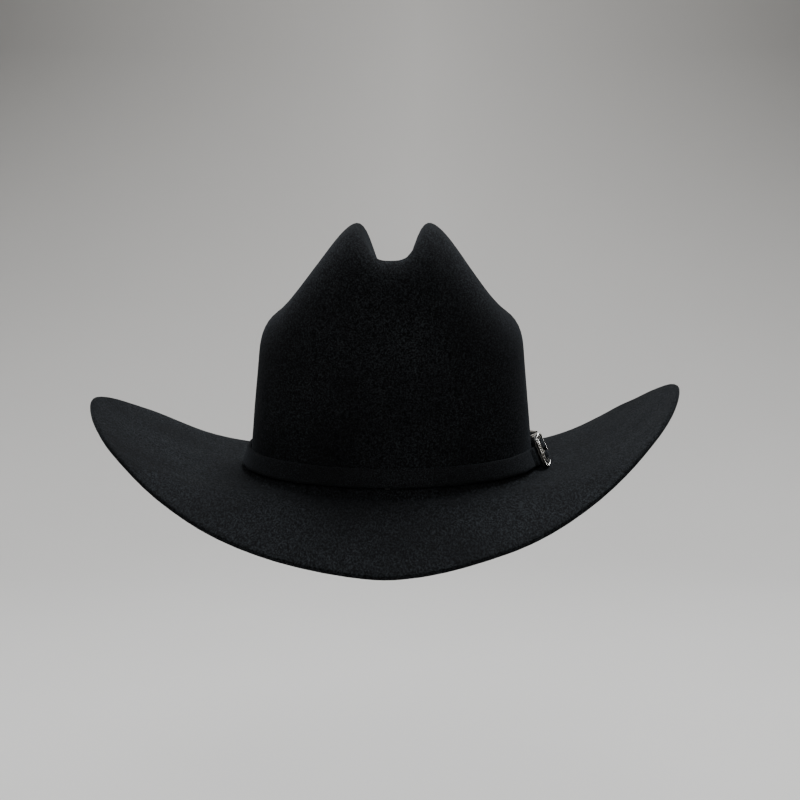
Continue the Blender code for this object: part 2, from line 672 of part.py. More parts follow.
def wrap_on_strap(bm):
    """Lay a flat mesh, made as (along, up, out), on the curved strap."""
    flat = np.array([vertex.co[:] for vertex in bm.verts])
    placed = on_strap(flat[:, 0], flat[:, 1], flat[:, 2])
    for vertex, point in zip(bm.verts, placed):
        vertex.co = Vector(point)


def ease(value, start, end):
    """Smooth step from 0 at start to 1 at end."""
    share = np.clip((value - start) / (end - start), 0.0, 1.0)
    return share * share * (3.0 - 2.0 * share)


def base_height(along):
    """Height of the lower layer's inner face: eased off the felt where the keeper passes behind it."""
    near = ease(along, *LIFT_START) * (1.0 - ease(along, *LIFT_END))
    return STRAP_GAP + (STRAP_EASE - STRAP_GAP) * near


def lap_height(along):
    """Height of the free end's inner face: over the bar, then down onto the lower layer."""
    layer = base_height(along) + STRAP_THICKNESS + LAYER_GAP
    crest = CREST_HEIGHT + 0.0 * along
    over = crest + (layer - crest) * ease(along, *LAP_FALL)
    return base_height(along) + (over - base_height(along)) * ease(along, *LAP_RISE)


def hatband(material):
    """Felt strap: once round from behind the bar, over the bar, and on to its free end."""
    lap = LAP_LENGTH
    middle_end = lap - LAP_FROM - STRAP_END_STEP
    fine_start = np.arange(STRAP_START, START_UNTIL, STRAP_FINE_STEP)
    coarse = np.linspace(START_UNTIL, middle_end, round((middle_end - START_UNTIL) / STRAP_STEP))
    fine_end = np.linspace(lap - LAP_FROM, lap + STRAP_END, round((STRAP_END + LAP_FROM) / STRAP_END_STEP))
    along = np.concatenate([fine_start, coarse, fine_end])
    past = along - lap
    height = np.where(past < -LAP_FROM, base_height(along), lap_height(past))
    height = np.where(along < START_UNTIL, base_height(along), height)
    half = BAND_HALF_HEIGHT + (FREE_END_HALF_HEIGHT - BAND_HALF_HEIGHT) * ease(past, *LAP_NARROW)
    outer = height + STRAP_THICKNESS
    rows = [on_strap(along, -half, height), on_strap(along, 0.0 * half, height), on_strap(along, half, height),
            on_strap(along, half, outer - STRAP_BEVEL), on_strap(along, half - STRAP_BEVEL, outer),
            on_strap(along, 0.0 * half, outer), on_strap(along, STRAP_BEVEL - half, outer),
            on_strap(along, -half, outer - STRAP_BEVEL)]
    strap = finish_object("hatband", lay_mesh(np.stack(rows), True, False), material)
    cut(strap, [tongue_slot(material)] + [pin_hole(material, place) for place in PIN_PLACES])
    return strap


def flat_block(low, high):
    """Box between two corners, as a bmesh."""
    bm = bmesh.new()
    bmesh.ops.create_cube(bm, size=1.0)
    size = Vector(high) - Vector(low)
    bmesh.ops.scale(bm, verts=bm.verts, vec=size)
    bmesh.ops.translate(bm, verts=bm.verts, vec=(Vector(high) + Vector(low)) * 0.5)
    return bm


def tongue_slot(material):
    """Guide for the slot in the free end that the tongue passes through."""
    low = (SLOT_FRONT, -0.5 * SLOT_WIDTH, GUIDE_LOW)
    high = (SLOT_REAR, 0.5 * SLOT_WIDTH, GUIDE_HIGH)
    bm = flat_block(low, high)
    corners = [edge for edge in bm.edges if abs(edge.verts[0].co.z - edge.verts[1].co.z) > MM]
    bmesh.ops.bevel(bm, geom=corners, offset=SLOT_CORNER, affect="EDGES", segments=2, profile=0.5, material=-1)
    wrap_on_strap(bm)
    return finish_object("slot_guide", bm, material)


def upright_pin(place, radius, low, high, sides):
    """Round pin that stands on the strap."""
    bm = bmesh.new()
    bmesh.ops.create_cone(bm, cap_ends=True, segments=sides, radius1=radius, radius2=radius, depth=high - low)
    bmesh.ops.translate(bm, verts=bm.verts, vec=(place, 0.0, 0.5 * (low + high)))
    wrap_on_strap(bm)
    return bm


def pin_hole(material, place):
    """Guide for a hole in the free end."""
    low = base_height(place) + STRAP_THICKNESS + 0.15 * MM
    bm = upright_pin(place, PIN_HOLE_RADIUS, low, GUIDE_HIGH, 8)
    return finish_object(f"hole_guide_{round(place / MM)}", bm, material)


def tip_pin(name, material, place):
    """Pin through the free end, under the metal tip."""
    low = lap_height(np.array(place)) + 0.1 * MM
    high = lap_height(np.array(place)) + STRAP_THICKNESS + TIP_GAP - 0.3 * MM
    return finish_object(name, upright_pin(place, PIN_RADIUS, float(low), float(high), 8), material)


def buckle_frame(material):
    """Cast frame: three broad rails and the bar, which is also the axis it pivots on."""
    half_length = 0.5 * FRAME_LENGTH
    half_height = 0.5 * FRAME_HEIGHT
    centre = -half_length + 0.5 * FRAME_RAIL
    turns = full_circle(40)
    outline = oval(turns, half_length, half_height, 5.0)
    along = centre + outline[:, 0]
    up = outline[:, 1] + FRAME_SHIFT
    heel = ease(along, -3.6 * MM, -1.0 * MM) * (1.0 - ease(np.abs(up), 7.0 * MM, 8.2 * MM))
    nose = ease(-along, 0.6 * FRAME_LENGTH, 0.82 * FRAME_LENGTH)
    rail = FRAME_RAIL + FRAME_FRONT_EXTRA * nose + (2.0 * BAR_RADIUS - FRAME_RAIL) * heel
    inward = outline / np.linalg.norm(outline, axis=-1, keepdims=True)
    low = FRAME_BASE + (BAR_HEIGHT - BAR_RADIUS - FRAME_BASE) * heel
    high = FRAME_BASE + FRAME_THICKNESS + (BAR_HEIGHT + BAR_RADIUS - FRAME_BASE - FRAME_THICKNESS) * heel
    shift = (0.5 * FRAME_RAIL - BAR_RADIUS) * heel
    rows = []
    for across, lift in ((0.0, 0.35), (0.25, 0.0), (0.75, 0.0), (1.0, 0.35), (1.0, 0.65), (0.75, 1.0),
                         (0.25, 1.0), (0.0, 0.65)):
        step = shift + rail * across
        height = low + (high - low) * lift
        rows.append(np.stack([along - inward[:, 0] * step, up - inward[:, 1] * step, height], axis=-1))
    bm = lay_mesh(np.stack(rows), True, True)
    wrap_on_strap(bm)
    return finish_object("buckle_frame", bm, material, origin=on_strap(0.0, 0.0, BAR_HEIGHT))


def buckle_tongue(material):
    """Prong: an eye round the bar and an arm that rests on the front rail."""
    turns = np.radians(np.linspace(250.0, 0.0, 9))
    middle = 0.5 * (TONGUE_EYE_INNER + TONGUE_EYE_OUTER)
    half = 0.5 * (TONGUE_EYE_OUTER - TONGUE_EYE_INNER)
    eye_along = np.sin(turns) * middle
    eye_out = BAR_HEIGHT + np.cos(turns) * middle
    rest = FRAME_BASE + FRAME_THICKNESS + TONGUE_REST_GAP + 0.5 * TONGUE_THICKNESS
    arm_along = np.linspace(-TONGUE_ARM_START, -TONGUE_REACH, 9)
    reach = np.abs(arm_along) / TONGUE_REACH
    root = BAR_HEIGHT + middle + TONGUE_REST_GAP
    arm_out = root + (rest - root) * ease(reach, 0.1, 0.85)
    along = np.concatenate([eye_along, arm_along])
    out = np.concatenate([eye_out, arm_out])
    thick = np.concatenate([np.full(len(turns), half), np.full(len(arm_along), 0.5 * TONGUE_THICKNESS)])
    wide = np.concatenate([np.full(len(turns), 0.5 * TONGUE_WIDTH), 0.5 * TONGUE_WIDTH * (1.0 - 0.45 * reach ** 3)])
    tangent = np.stack([np.gradient(along), np.gradient(out)], axis=-1)
    tangent = tangent / np.linalg.norm(tangent, axis=-1, keepdims=True)
    rows = []
    for across, lift in ((-1.0, -1.0), (1.0, -1.0), (1.0, 0.5), (0.5, 1.0), (-0.5, 1.0), (-1.0, 0.5)):
        rows.append(np.stack([along - tangent[:, 1] * thick * -lift, across * wide,
                              out + tangent[:, 0] * thick * -lift], axis=-1))
    bm = lay_mesh(np.stack(rows), True, False)
    wrap_on_strap(bm)
    return finish_object("buckle_tongue", bm, material, origin=on_strap(0.0, 0.0, BAR_HEIGHT))


def chape_path():
    """Middle line of the folded chape as (along, out) points: under the bar, round it and back on top."""
    bend = BAR_RADIUS + CHAPE_BEND_GAP + 0.5 * CHAPE_THICKNESS
    turns = np.radians(np.linspace(-90.0, -270.0, 9))
    fold = [(bend * math.cos(turn), BAR_HEIGHT + bend * math.sin(turn)) for turn in turns]
    lower = [(3.6 * MM, BAR_HEIGHT - bend)]
    rest = STRAP_EASE + STRAP_THICKNESS + CHAPE_REST_GAP + 0.5 * CHAPE_THICKNESS
    upper = [(3.0 * MM, BAR_HEIGHT + bend), (6.5 * MM, 0.5 * (BAR_HEIGHT + bend + rest)),
             (9.0 * MM, rest), (CHAPE_TAIL, rest)]
    return np.array(lower + fold + upper)


def buckle_chape(material):
    """Thin strap folded round the bar and sewn on the hatband's start, with a gap for the tongue's eye."""
    path = chape_path()
    tangent = np.stack([np.gradient(path[:, 0]), np.gradient(path[:, 1])], axis=-1)
    tangent = tangent / np.linalg.norm(tangent, axis=-1, keepdims=True)
    half = 0.5 * CHAPE_THICKNESS
    rows = []
    for across, lift in ((-1.0, -1.0), (1.0, -1.0), (1.0, 1.0), (-1.0, 1.0)):
        rows.append(np.stack([path[:, 0] - tangent[:, 1] * half * lift,
                              np.full(len(path), across * CHAPE_HALF_HEIGHT),
                              path[:, 1] + tangent[:, 0] * half * lift], axis=-1))
    bm = lay_mesh(np.stack(rows), True, False)
    wrap_on_strap(bm)
    chape = finish_object("buckle_chape", bm, material)
    low = (-4.0 * MM, -0.5 * CHAPE_SLOT_WIDTH, 0.2 * MM)
    high = (2.9 * MM, 0.5 * CHAPE_SLOT_WIDTH, 8.0 * MM)
    guide = flat_block(low, high)
    wrap_on_strap(guide)
    cut(chape, [finish_object("chape_guide", guide, material)])
    return chape


def chape_thread(material):
    """Stitch across the chape's tail."""
    rest = STRAP_EASE + STRAP_THICKNESS + CHAPE_REST_GAP + CHAPE_THICKNESS + 2.0 * THREAD_RADIUS
    across = np.linspace(-STITCH_HALF_WIDTH, STITCH_HALF_WIDTH, 5)
    centres = np.stack([np.full(5, STITCH_PLACE), across, np.full(5, rest)], axis=-1)
    grid = cord_grid(centres, np.array([1.0, 0.0, 0.0]), np.array([0.0, 0.0, 1.0]), STITCH_RADIUS, sides=4)
    bm = lay_mesh(grid, True, False)
    wrap_on_strap(bm)
    return finish_object("chape_thread", bm, material)


def keeper_loop(material):
    """Loop round both layers: a thin back and a crowned front."""
    layers = STRAP_EASE + 2.0 * STRAP_THICKNESS + LAYER_GAP
    back = STRAP_EASE - KEEPER_CLEARANCE - KEEPER_BACK
    front = layers + KEEPER_CLEARANCE
    inner_half = KEEPER_HALF_HEIGHT - 1.0 * MM
    outer = [(-0.8, 0.0), (0.8, 0.0), (1.0, 0.19), (1.0, 0.75), (0.9, 0.9), (0.5, 0.98), (0.0, 1.0),
             (-0.5, 0.98), (-0.9, 0.9), (-1.0, 0.75), (-1.0, 0.19)]
    inner = [(-0.9, 0.0), (0.9, 0.0), (1.0, 0.1), (1.0, 0.9), (0.9, 1.0), (0.5, 1.0), (0.0, 1.0),
             (-0.5, 1.0), (-0.9, 1.0), (-1.0, 0.9), (-1.0, 0.1)]
    half = 0.5 * KEEPER_LENGTH
    top = front + KEEPER_FRONT
    rows = []
    for points, places, bottom, height, width in (
            (outer, (-0.8, 0.8), back, top, KEEPER_HALF_HEIGHT),
            (inner, (1.0, -1.0), STRAP_EASE - KEEPER_CLEARANCE, front, inner_half)):
        for place in places:
            rows.append(np.array([[KEEPER_CENTRE + place * half, up * width, bottom + (height - bottom) * out]
                                  for up, out in points]))
    bm = lay_mesh(np.stack(rows), True, True)
    wrap_on_strap(bm)
    return finish_object("keeper_loop", bm, material, origin=on_strap(KEEPER_CENTRE, 0.0, layers))


def strap_tip(material):
    """Metal plate on the free end, with a rounded point."""
    along = TIP_START + TIP_LENGTH * np.array([0.0, 0.06, 0.3, 0.5, 0.66, 0.8, 0.9, 0.97, 1.0])
    share = (along - TIP_START) / TIP_LENGTH
    half = TIP_HALF_HEIGHT * np.sqrt(np.maximum(1.0 - np.maximum((share - 0.35) / 0.66, 0.0) ** 2, 0.0))
    base = lap_height(along) + STRAP_THICKNESS + TIP_GAP
    rows = []
    for across, lift in ((-0.94, 0.0), (0.0, 0.0), (0.94, 0.0), (1.0, 0.5), (0.8, 0.93), (0.0, 1.0),
                         (-0.8, 0.93), (-1.0, 0.5)):
        rows.append(np.stack([along, across * half, base + lift * TIP_THICKNESS], axis=-1))
    bm = lay_mesh(np.stack(rows), True, False)
    wrap_on_strap(bm)
    return finish_object("strap_tip", bm, material)


def band_tack(name, material, angle):
    """Small thread loop that holds the strap's lower edge down."""
    along = float(np.interp(angle, SEAT_ANGLES, SEAT_LENGTHS)) - BAR_LENGTH
    low = -BAND_HALF_HEIGHT - 0.35 * MM - TACK_RADIUS
    places = np.linspace(-TACK_HALF_WIDTH, TACK_HALF_WIDTH, 4)
    centres = np.stack([along + places, np.full(4, low), np.full(4, STRAP_GAP + 1.0 * MM)], axis=-1)
    grid = cord_grid(centres, np.array([0.0, 1.0, 0.0]), np.array([0.0, 0.0, 1.0]), TACK_RADIUS, sides=5)
    bm = lay_mesh(grid, True, False)
    wrap_on_strap(bm)
    return finish_object(name, bm, material)


def main():
    """Clear the scene and build every piece."""
    for item in list(bpy.data.objects):
        bpy.data.objects.remove(item, do_unlink=True)

    felt = make_material("black_felt", (0.012, 0.012, 0.013), 0.95)
    leather = make_material("brown_leather", (0.20, 0.11, 0.06), 0.5)
    satin = make_material("dark_satin", (0.05, 0.05, 0.055), 0.35)
    ribbon = make_material("black_ribbon", (0.02, 0.02, 0.022), 0.5)
    cloth = make_material("black_tape", (0.03, 0.03, 0.03), 0.85)
    clear = make_material("clear_sheet", (0.8, 0.82, 0.83), 0.15)
    reed = make_material("reed_plastic", (0.75, 0.72, 0.62), 0.5)
    silver = make_material("aged_silver", (0.62, 0.60, 0.57), 0.35, metallic=1.0)
    thread = make_material("black_thread", (0.02, 0.02, 0.02), 0.7)

    felt_body(felt)
    lining_sheet("lining_tip", satin, LINING_TIP_STATIONS, LINING_TIP_DEPTH, LINING_THICKNESS)
    lining_piping(ribbon)
    lining_sheet("lining_side", satin, LINING_SIDE_STATIONS, LINING_DEPTH, LINING_THICKNESS)
    lining_sheet("tip_shield", clear, SHIELD_STATIONS, LINING_TIP_DEPTH, SHIELD_THICKNESS, SHIELD_FALL)

    sweatband(leather)
    band_strip("sweatband_reed", reed, full_circle(), round_profile(REED_Z, REED_DEPTH, REED_RADIUS, 6), True)
    reed_tape(cloth)
    sweatband_thread(thread)
    back_seam_tape(cloth)
    bow_ribbon(ribbon)
    bow_knot(ribbon)

    hatband(felt)
    buckle_chape(leather)
    chape_thread(thread)
    buckle_frame(silver)
    buckle_tongue(silver)
    keeper_loop(silver)
    strap_tip(silver)
    tip_pin("tip_pin_front", silver, PIN_PLACES[0])
    tip_pin("tip_pin_rear", silver, PIN_PLACES[1])
    band_tack("band_tack_front", thread, FULL_TURN)
    band_tack("band_tack_back", thread, math.pi)
    band_tack("band_tack_right", thread, 1.5 * math.pi)


main()
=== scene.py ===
"""Black western felt hat: the finished surfaces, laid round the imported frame.

Metres, +Z up. The front of the hat faces -Y and the wearer's left side, with the buckle, is +X. Angles
round the hat start at the front and grow towards the wearer's left. A station says how far down the felt
a ring lies: 0 the ridge line of the crown, 1 the edge of its top, 2 the wall's top, 3 the start of the
turn into the brim, 4 its end, and 5 the brim's cut edge.
"""

import functools
import logging
import math
from collections.abc import Iterable
from dataclasses import dataclass, field
from enum import Enum

import bmesh
import bpy
import numpy as np
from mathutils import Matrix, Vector


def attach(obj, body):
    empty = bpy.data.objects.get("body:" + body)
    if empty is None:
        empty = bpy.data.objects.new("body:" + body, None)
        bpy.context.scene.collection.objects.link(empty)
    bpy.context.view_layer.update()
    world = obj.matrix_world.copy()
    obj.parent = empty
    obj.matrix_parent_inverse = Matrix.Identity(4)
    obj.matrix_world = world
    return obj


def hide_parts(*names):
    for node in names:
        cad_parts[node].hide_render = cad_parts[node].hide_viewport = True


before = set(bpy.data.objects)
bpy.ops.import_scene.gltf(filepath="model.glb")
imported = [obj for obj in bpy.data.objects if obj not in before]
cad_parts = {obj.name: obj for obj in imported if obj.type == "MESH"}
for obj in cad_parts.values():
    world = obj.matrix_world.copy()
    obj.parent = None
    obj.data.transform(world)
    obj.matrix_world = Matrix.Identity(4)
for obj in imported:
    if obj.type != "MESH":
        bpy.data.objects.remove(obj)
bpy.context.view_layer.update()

LOG = logging.getLogger("hat")
MM = 0.001
FULL_TURN = 2.0 * math.pi
MERGE = 0.000001
Array = np.ndarray


class Body(Enum):
    """Bodies of the frame that pieces ride on."""

    HAT = "hat"
    BUCKLE = "buckle"
    TONGUE = "tongue"
    KEEPER = "keeper"


class Slot(Enum):
    """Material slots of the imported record."""

    FELT = "felt"
    LEATHER = "leather"
    REED = "reed"
    TAPE = "tape"
    THREAD = "thread"
    RIBBON = "ribbon"
    SATIN = "satin"
    CLEAR = "clear_sheet"
    SILVER = "silver"


# Small geometry helpers -----------------------------------------------------------------------------

def unit(vectors: Array) -> Array:
    """Vectors scaled to a length of one."""
    return vectors / np.linalg.norm(vectors, axis=-1, keepdims=True)


def ease(value: Array, start: float, end: float) -> Array:
    """Smooth step from 0 at start to 1 at end."""
    share = np.clip((value - start) / (end - start), 0.0, 1.0)
    return share * share * (3.0 - 2.0 * share)


def full_circle(count: int) -> Array:
    """Angles of one full turn, starting at the front."""
    return np.arange(count) * FULL_TURN / count


def oval(angle: Array, half_width: Array, half_length: Array, power: float) -> Array:
    """Point of an oval at an angle from the front.

    Args:
        angle: Angles round the hat.
        half_width: Reach along X.
        half_length: Reach along Y.
        power: 2 for an ellipse, more for a squarer oval.

    Returns:
        Points with X and Y in the last axis.
    """
    side = np.sin(angle)
    ahead = np.cos(angle)
    reach = ((np.abs(side) / half_width) ** power + (np.abs(ahead) / half_length) ** power) ** (-1.0 / power)
    return np.stack([side * reach, -ahead * reach], axis=-1)


def rounded(corner: float, sides: int) -> Array:
    """Closed outline of a box from -1 to 1 with soft corners.

    Args:
        corner: Power of the outline: 2 is a circle, 8 nearly a square.
        sides: Number of points.

    Returns:
        Rows of (across, up), starting at the middle of the lower side.
    """
    turn = full_circle(sides)
    return oval(turn, 1.0, 1.0, corner)


# The block: formula of the felt's outer face --------------------------------------------------------

@dataclass(frozen=True)
class Block:
    """The shape that the felt is pressed and brushed to, as a formula for its outer face."""

    felt_crown: float = 2.4 * MM
    felt_brim: float = 3.0 * MM
    wall_half_width: float = 87.5 * MM
    wall_half_length: float = 107.0 * MM
    wall_power: float = 2.12
    taper_side: float = 0.085
    taper_front: float = 0.10
    taper_back: float = 0.13
    crown_height: float = 155.2 * MM
    top_shift: float = 1.2 * MM
    ridge_peak_y: float = -28.0 * MM
    ridge_fall_front: float = 3.0
    ridge_fall_back: float = 1.6
    ridge_x: float = 24.6 * MM
    ridge_round: float = 4.6 * MM
    side_slope: float = 1.196
    side_ease: float = 1.4
    side_ease_x: float = 35.0 * MM
    crease_depth: float = 35.2 * MM
    crease_half_width: float = 14.2 * MM
    crease_power: float = 3.0
    crease_front: float = -70.5 * MM
    crease_back: float = 78.0 * MM
    crease_fade: float = 8.0 * MM
    dent_depth: float = 8.0 * MM
    dent_x: float = 58.0 * MM
    dent_half_width: float = 17.0 * MM
    dent_half_length: float = 50.0 * MM
    shoulder_side: float = 8.6 * MM
    shoulder_front: float = 37.8 * MM
    front_face_scale: float = 0.85
    front_face_x: float = 30.0 * MM
    core_height: float = 50.0 * MM
    core_half_width: float = 50.0 * MM
    core_half_length: float = 72.0 * MM
    spine_half_length: float = 58.0 * MM
    flare_top: float = 14.0 * MM
    flare_reach: float = 8.5 * MM
    flare_pull: float = 14.0 * MM
    brim_half_width: float = 191.8 * MM
    brim_side_shift: float = -0.014
    brim_front: float = 195.9 * MM
    brim_back: float = 202.5 * MM
    brim_power_left: float = 1.657
    brim_power_right: float = 1.704
    roll_start: float = 60.5 * MM
    roll_left: float = math.radians(52.2)
    roll_right: float = math.radians(44.65)
    roll_power_left: float = 1.135
    roll_power_right: float = 1.347
    brim_tilt: float = 0.0061
    dip_start: float = 87.9 * MM
    dip_front: float = 28.7 * MM
    dip_back: float = 31.3 * MM
    dip_power: float = 1.865
    edge_round: float = 1.1 * MM

    def wall_size(self, y: Array, z: Array) -> tuple[Array, Array]:
        """Half width and half length of the crown's oval at a height."""
        up = np.maximum(z, 0.0)
        taper = np.where(y < 0.0, self.taper_front, self.taper_back)
        return self.wall_half_width - self.taper_side * up, self.wall_half_length - taper * up

    def crown_top(self, x: Array, y: Array) -> Array:
        """Height of the creased top over a point of the plan."""
        out = np.abs(x - self.top_shift)
        along = y - self.ridge_peak_y
        fall = np.where(along > 0.0, self.ridge_fall_back, self.ridge_fall_front)
        slope = self.side_slope * self.ridge_round
        side = slope * np.logaddexp(0.0, (out - self.ridge_x) / self.ridge_round)
        eased = self.side_ease * np.maximum(out - self.side_ease_x, 0.0) ** 2
        front = 1.0 / (1.0 + np.exp((self.crease_front - y) / self.crease_fade))
        back = 1.0 / (1.0 + np.exp((y - self.crease_back) / self.crease_fade))
        hollow = np.exp(-(out / self.crease_half_width) ** self.crease_power)
        across = ((out - self.dent_x) / self.dent_half_width) ** 2
        dent = self.dent_depth * np.exp(-across - np.abs(y / self.dent_half_length) ** 3)
        crease = self.crease_depth * front * back * hollow
        return self.crown_height - fall * along ** 2 - side + eased - crease - dent

    def crown_field(self, points: Array) -> Array:
        """Negative inside the crown and positive outside: wall and top, joined by a round shoulder."""
        x, y, z = points[..., 0], points[..., 1], points[..., 2]
        half_width, half_length = self.wall_size(y, z)
        power = self.wall_power
        rho = (np.abs(x / half_width) ** power + np.abs(y / half_length) ** power) ** (1.0 / power)
        plan = np.hypot(x, y) + MERGE
        wall = plan - plan / np.maximum(rho, MERGE)
        scale = np.where(np.abs(x) > self.front_face_x, 1.0 / math.hypot(1.0, self.side_slope),
                         self.front_face_scale)
        top = (z - self.crown_top(x, y)) * scale
        blend = self.shoulder_side + (self.shoulder_front - self.shoulder_side) * (y / plan) ** 2
        share = np.clip(0.5 + 0.5 * (wall - top) / blend, 0.0, 1.0)
        return top * (1.0 - share) + wall * share + blend * share * (1.0 - share)

    def crown_hit(self, start: Array, direction: Array) -> Array:
        """Point where a ray from inside the crown meets its outer face."""
        near = np.full(start.shape[:-1] + (1,), 4.0 * MM)
        far = np.full(start.shape[:-1] + (1,), 150.0 * MM)
        for _ in range(36):
            middle = 0.5 * (near + far)
            outside = self.crown_field(start + direction * middle)[..., None] > 0.0
            far = np.where(outside, middle, far)
            near = np.where(outside, near, middle)
        return start + direction * near

    def roll_curve(self, turn: float, power: float, across: Array) -> tuple[Array, Array]:
        """Sideways reach and rise of the rolled brim, which keeps its length.

        Args:
            turn: Slope at the cut edge, in radians.
            power: How late the slope sets in.
            across: Distance from the middle on the flat brim.

        Returns:
            The reach and the rise.
        """
        steps = np.linspace(0.0, 1.1 * self.brim_half_width, 221)
        share = np.maximum(steps - self.roll_start, 0.0) / (self.brim_half_width - self.roll_start)
        slope = turn * share ** power
        middle = 0.5 * (slope[1:] + slope[:-1])
        reach = np.concatenate([[0.0], np.cumsum(np.cos(middle) * np.diff(steps))])
        rise = np.concatenate([[0.0], np.cumsum(np.sin(middle) * np.diff(steps))])
        return np.interp(across, steps, reach), np.interp(across, steps, rise)

    def brim_shape(self, flat: Array) -> Array:
        """Roll and dip a point of the flat brim."""
        x, y = flat[..., 0], flat[..., 1]
        left_reach, left_rise = self.roll_curve(self.roll_left, self.roll_power_left, np.abs(x))
        right_reach, right_rise = self.roll_curve(self.roll_right, self.roll_power_right, np.abs(x))
        reach = np.where(x > 0.0, left_reach, -right_reach)
        rise = np.where(x > 0.0, left_rise, right_rise)
        length = np.where(y < 0.0, self.brim_front, self.brim_back)
        depth = np.where(y < 0.0, self.dip_front, self.dip_back)
        share = np.maximum(np.abs(y) - self.dip_start, 0.0) / (length - self.dip_start)
        height = rise - depth * share ** self.dip_power + self.brim_tilt * reach
        return np.stack([reach, y, height], axis=-1)

    def brim_flat(self, angle: Array, share: Array) -> Array:
        """Point of the flat brim between the head oval and the cut edge."""
        length = np.where(np.cos(angle) > 0.0, self.brim_front, self.brim_back)
        left = np.sin(angle) > 0.0
        width = self.brim_half_width * (1.0 + np.where(left, self.brim_side_shift, -self.brim_side_shift))
        inner = oval(angle, self.wall_half_width, self.wall_half_length, self.wall_power)
        outer = oval(angle, width, length, np.where(left, self.brim_power_left, self.brim_power_right))
        return inner + (outer - inner) * share

    def flare_share(self, angle: Array) -> Array:
        """Share of the brim's width that the turn from wall to brim takes up."""
        width = np.linalg.norm(self.brim_flat(angle, 1.0) - self.brim_flat(angle, 0.0), axis=-1)
        return (self.flare_reach / width)[..., None]

    def core_edge(self, angle: Array) -> tuple[Array, Array]:
        """Edge of the crown's core and the direction outwards from it, in plan."""
        edge = oval(angle, self.core_half_width, self.core_half_length, self.wall_power)
        wall = oval(angle, self.wall_half_width, self.wall_half_length, self.wall_power)
        return edge, unit(wall - edge)

    def core_ray(self, angle: Array, height: float, turn: float) -> Array:
        """Point of the crown met by a ray from the core's edge, turned up from level."""
        edge, outward = self.core_edge(angle)
        level = np.zeros(edge.shape[:-1] + (1,))
        start = np.concatenate([edge, level + height], axis=-1)
        direction = np.concatenate([outward * math.cos(turn), level + math.sin(turn)], axis=-1)
        return self.crown_hit(start, direction)

    def spine_ring(self, angle: Array, share: float) -> Array:
        """Ring of the crown's top between its ridge line, share 0, and the core's edge, share 1."""
        edge, _ = self.core_edge(angle)
        spine = np.stack([0.0 * angle, -self.spine_half_length * np.cos(angle)], axis=-1)
        level = np.full(edge.shape[:-1] + (1,), self.core_height)
        start = np.concatenate([spine + (edge - spine) * share, level], axis=-1)
        return self.crown_hit(start, np.broadcast_to([0.0, 0.0, 1.0], start.shape))

    def flare_ring(self, angle: Array, share: float) -> Array:
        """Ring of the turn from wall, share 0, to brim, share 1."""
        foot = self.flare_share(angle)
        top = self.core_ray(angle, self.flare_top, 0.0)
        down = unit(top - self.core_ray(angle, self.flare_top + MM, 0.0)) * self.flare_pull
        base = self.brim_shape(self.brim_flat(angle, foot))
        out = unit(self.brim_shape(self.brim_flat(angle, foot + 0.01)) - base) * self.flare_pull
        square, cube = share ** 2, share ** 3
        return ((2 * cube - 3 * square + 1) * top + (cube - 2 * square + share) * down
                + (3 * square - 2 * cube) * base + (cube - square) * out)

    def surface(self, angle: Array, station: float) -> Array:
        """Ring of the felt's outer or upper face at a station."""
        if station < 1.0:
            return self.spine_ring(angle, station)
        if station < 2.0:
            return self.core_ray(angle, self.core_height, 0.25 * FULL_TURN * (2.0 - station))
        if station < 3.0:
            fall = (self.flare_top - self.core_height) * (station - 2.0)
            return self.core_ray(angle, self.core_height + fall, 0.0)
        if station < 4.0:
            return self.flare_ring(angle, station - 3.0)
        foot = self.flare_share(angle)
        return self.brim_shape(self.brim_flat(angle, foot + (1.0 - foot) * (station - 4.0)))

    def normal(self, angle: Array, station: float) -> Array:
        """Outward direction of the felt's outer face."""
        if station < 3.0:
            point = self.surface(angle, station)
            steps = np.eye(3) * 0.5 * MM
            return unit(np.stack([self.crown_field(point + a) - self.crown_field(point - a) for a in steps],
                                 axis=-1))
        ahead = self.surface(angle + 0.01, station) - self.surface(angle - 0.01, station)
        low, high = max(station - 0.02, 3.0), min(station + 0.02, 5.0)
        return unit(np.cross(self.surface(angle, high) - self.surface(angle, low), ahead))

    def ring(self, angle: Array, station: float, depth: float) -> Array:
        """Ring of points a given depth below the felt's outer face."""
        return self.surface(angle, station) - self.normal(angle, station) * depth

    def inside(self, angle: Array, height: Array, depth: Array) -> Array:
        """Points inside the crown at a height, a given depth inwards from the outer wall."""
        half_width, half_length = self.wall_size(-np.cos(angle), height)
        plan = oval(angle, half_width - depth, half_length - depth, self.wall_power)
        return np.concatenate([plan, np.broadcast_to(height, angle.shape)[..., None]], axis=-1)

    def thickness(self, station: float) -> float:
        """Thickness of the felt: thinner on the crown than on the brim."""
        return self.felt_crown + (self.felt_brim - self.felt_crown) * min(max(station - 3.0, 0.0), 1.0)


# Laid meshes ----------------------------------------------------------------------------------------

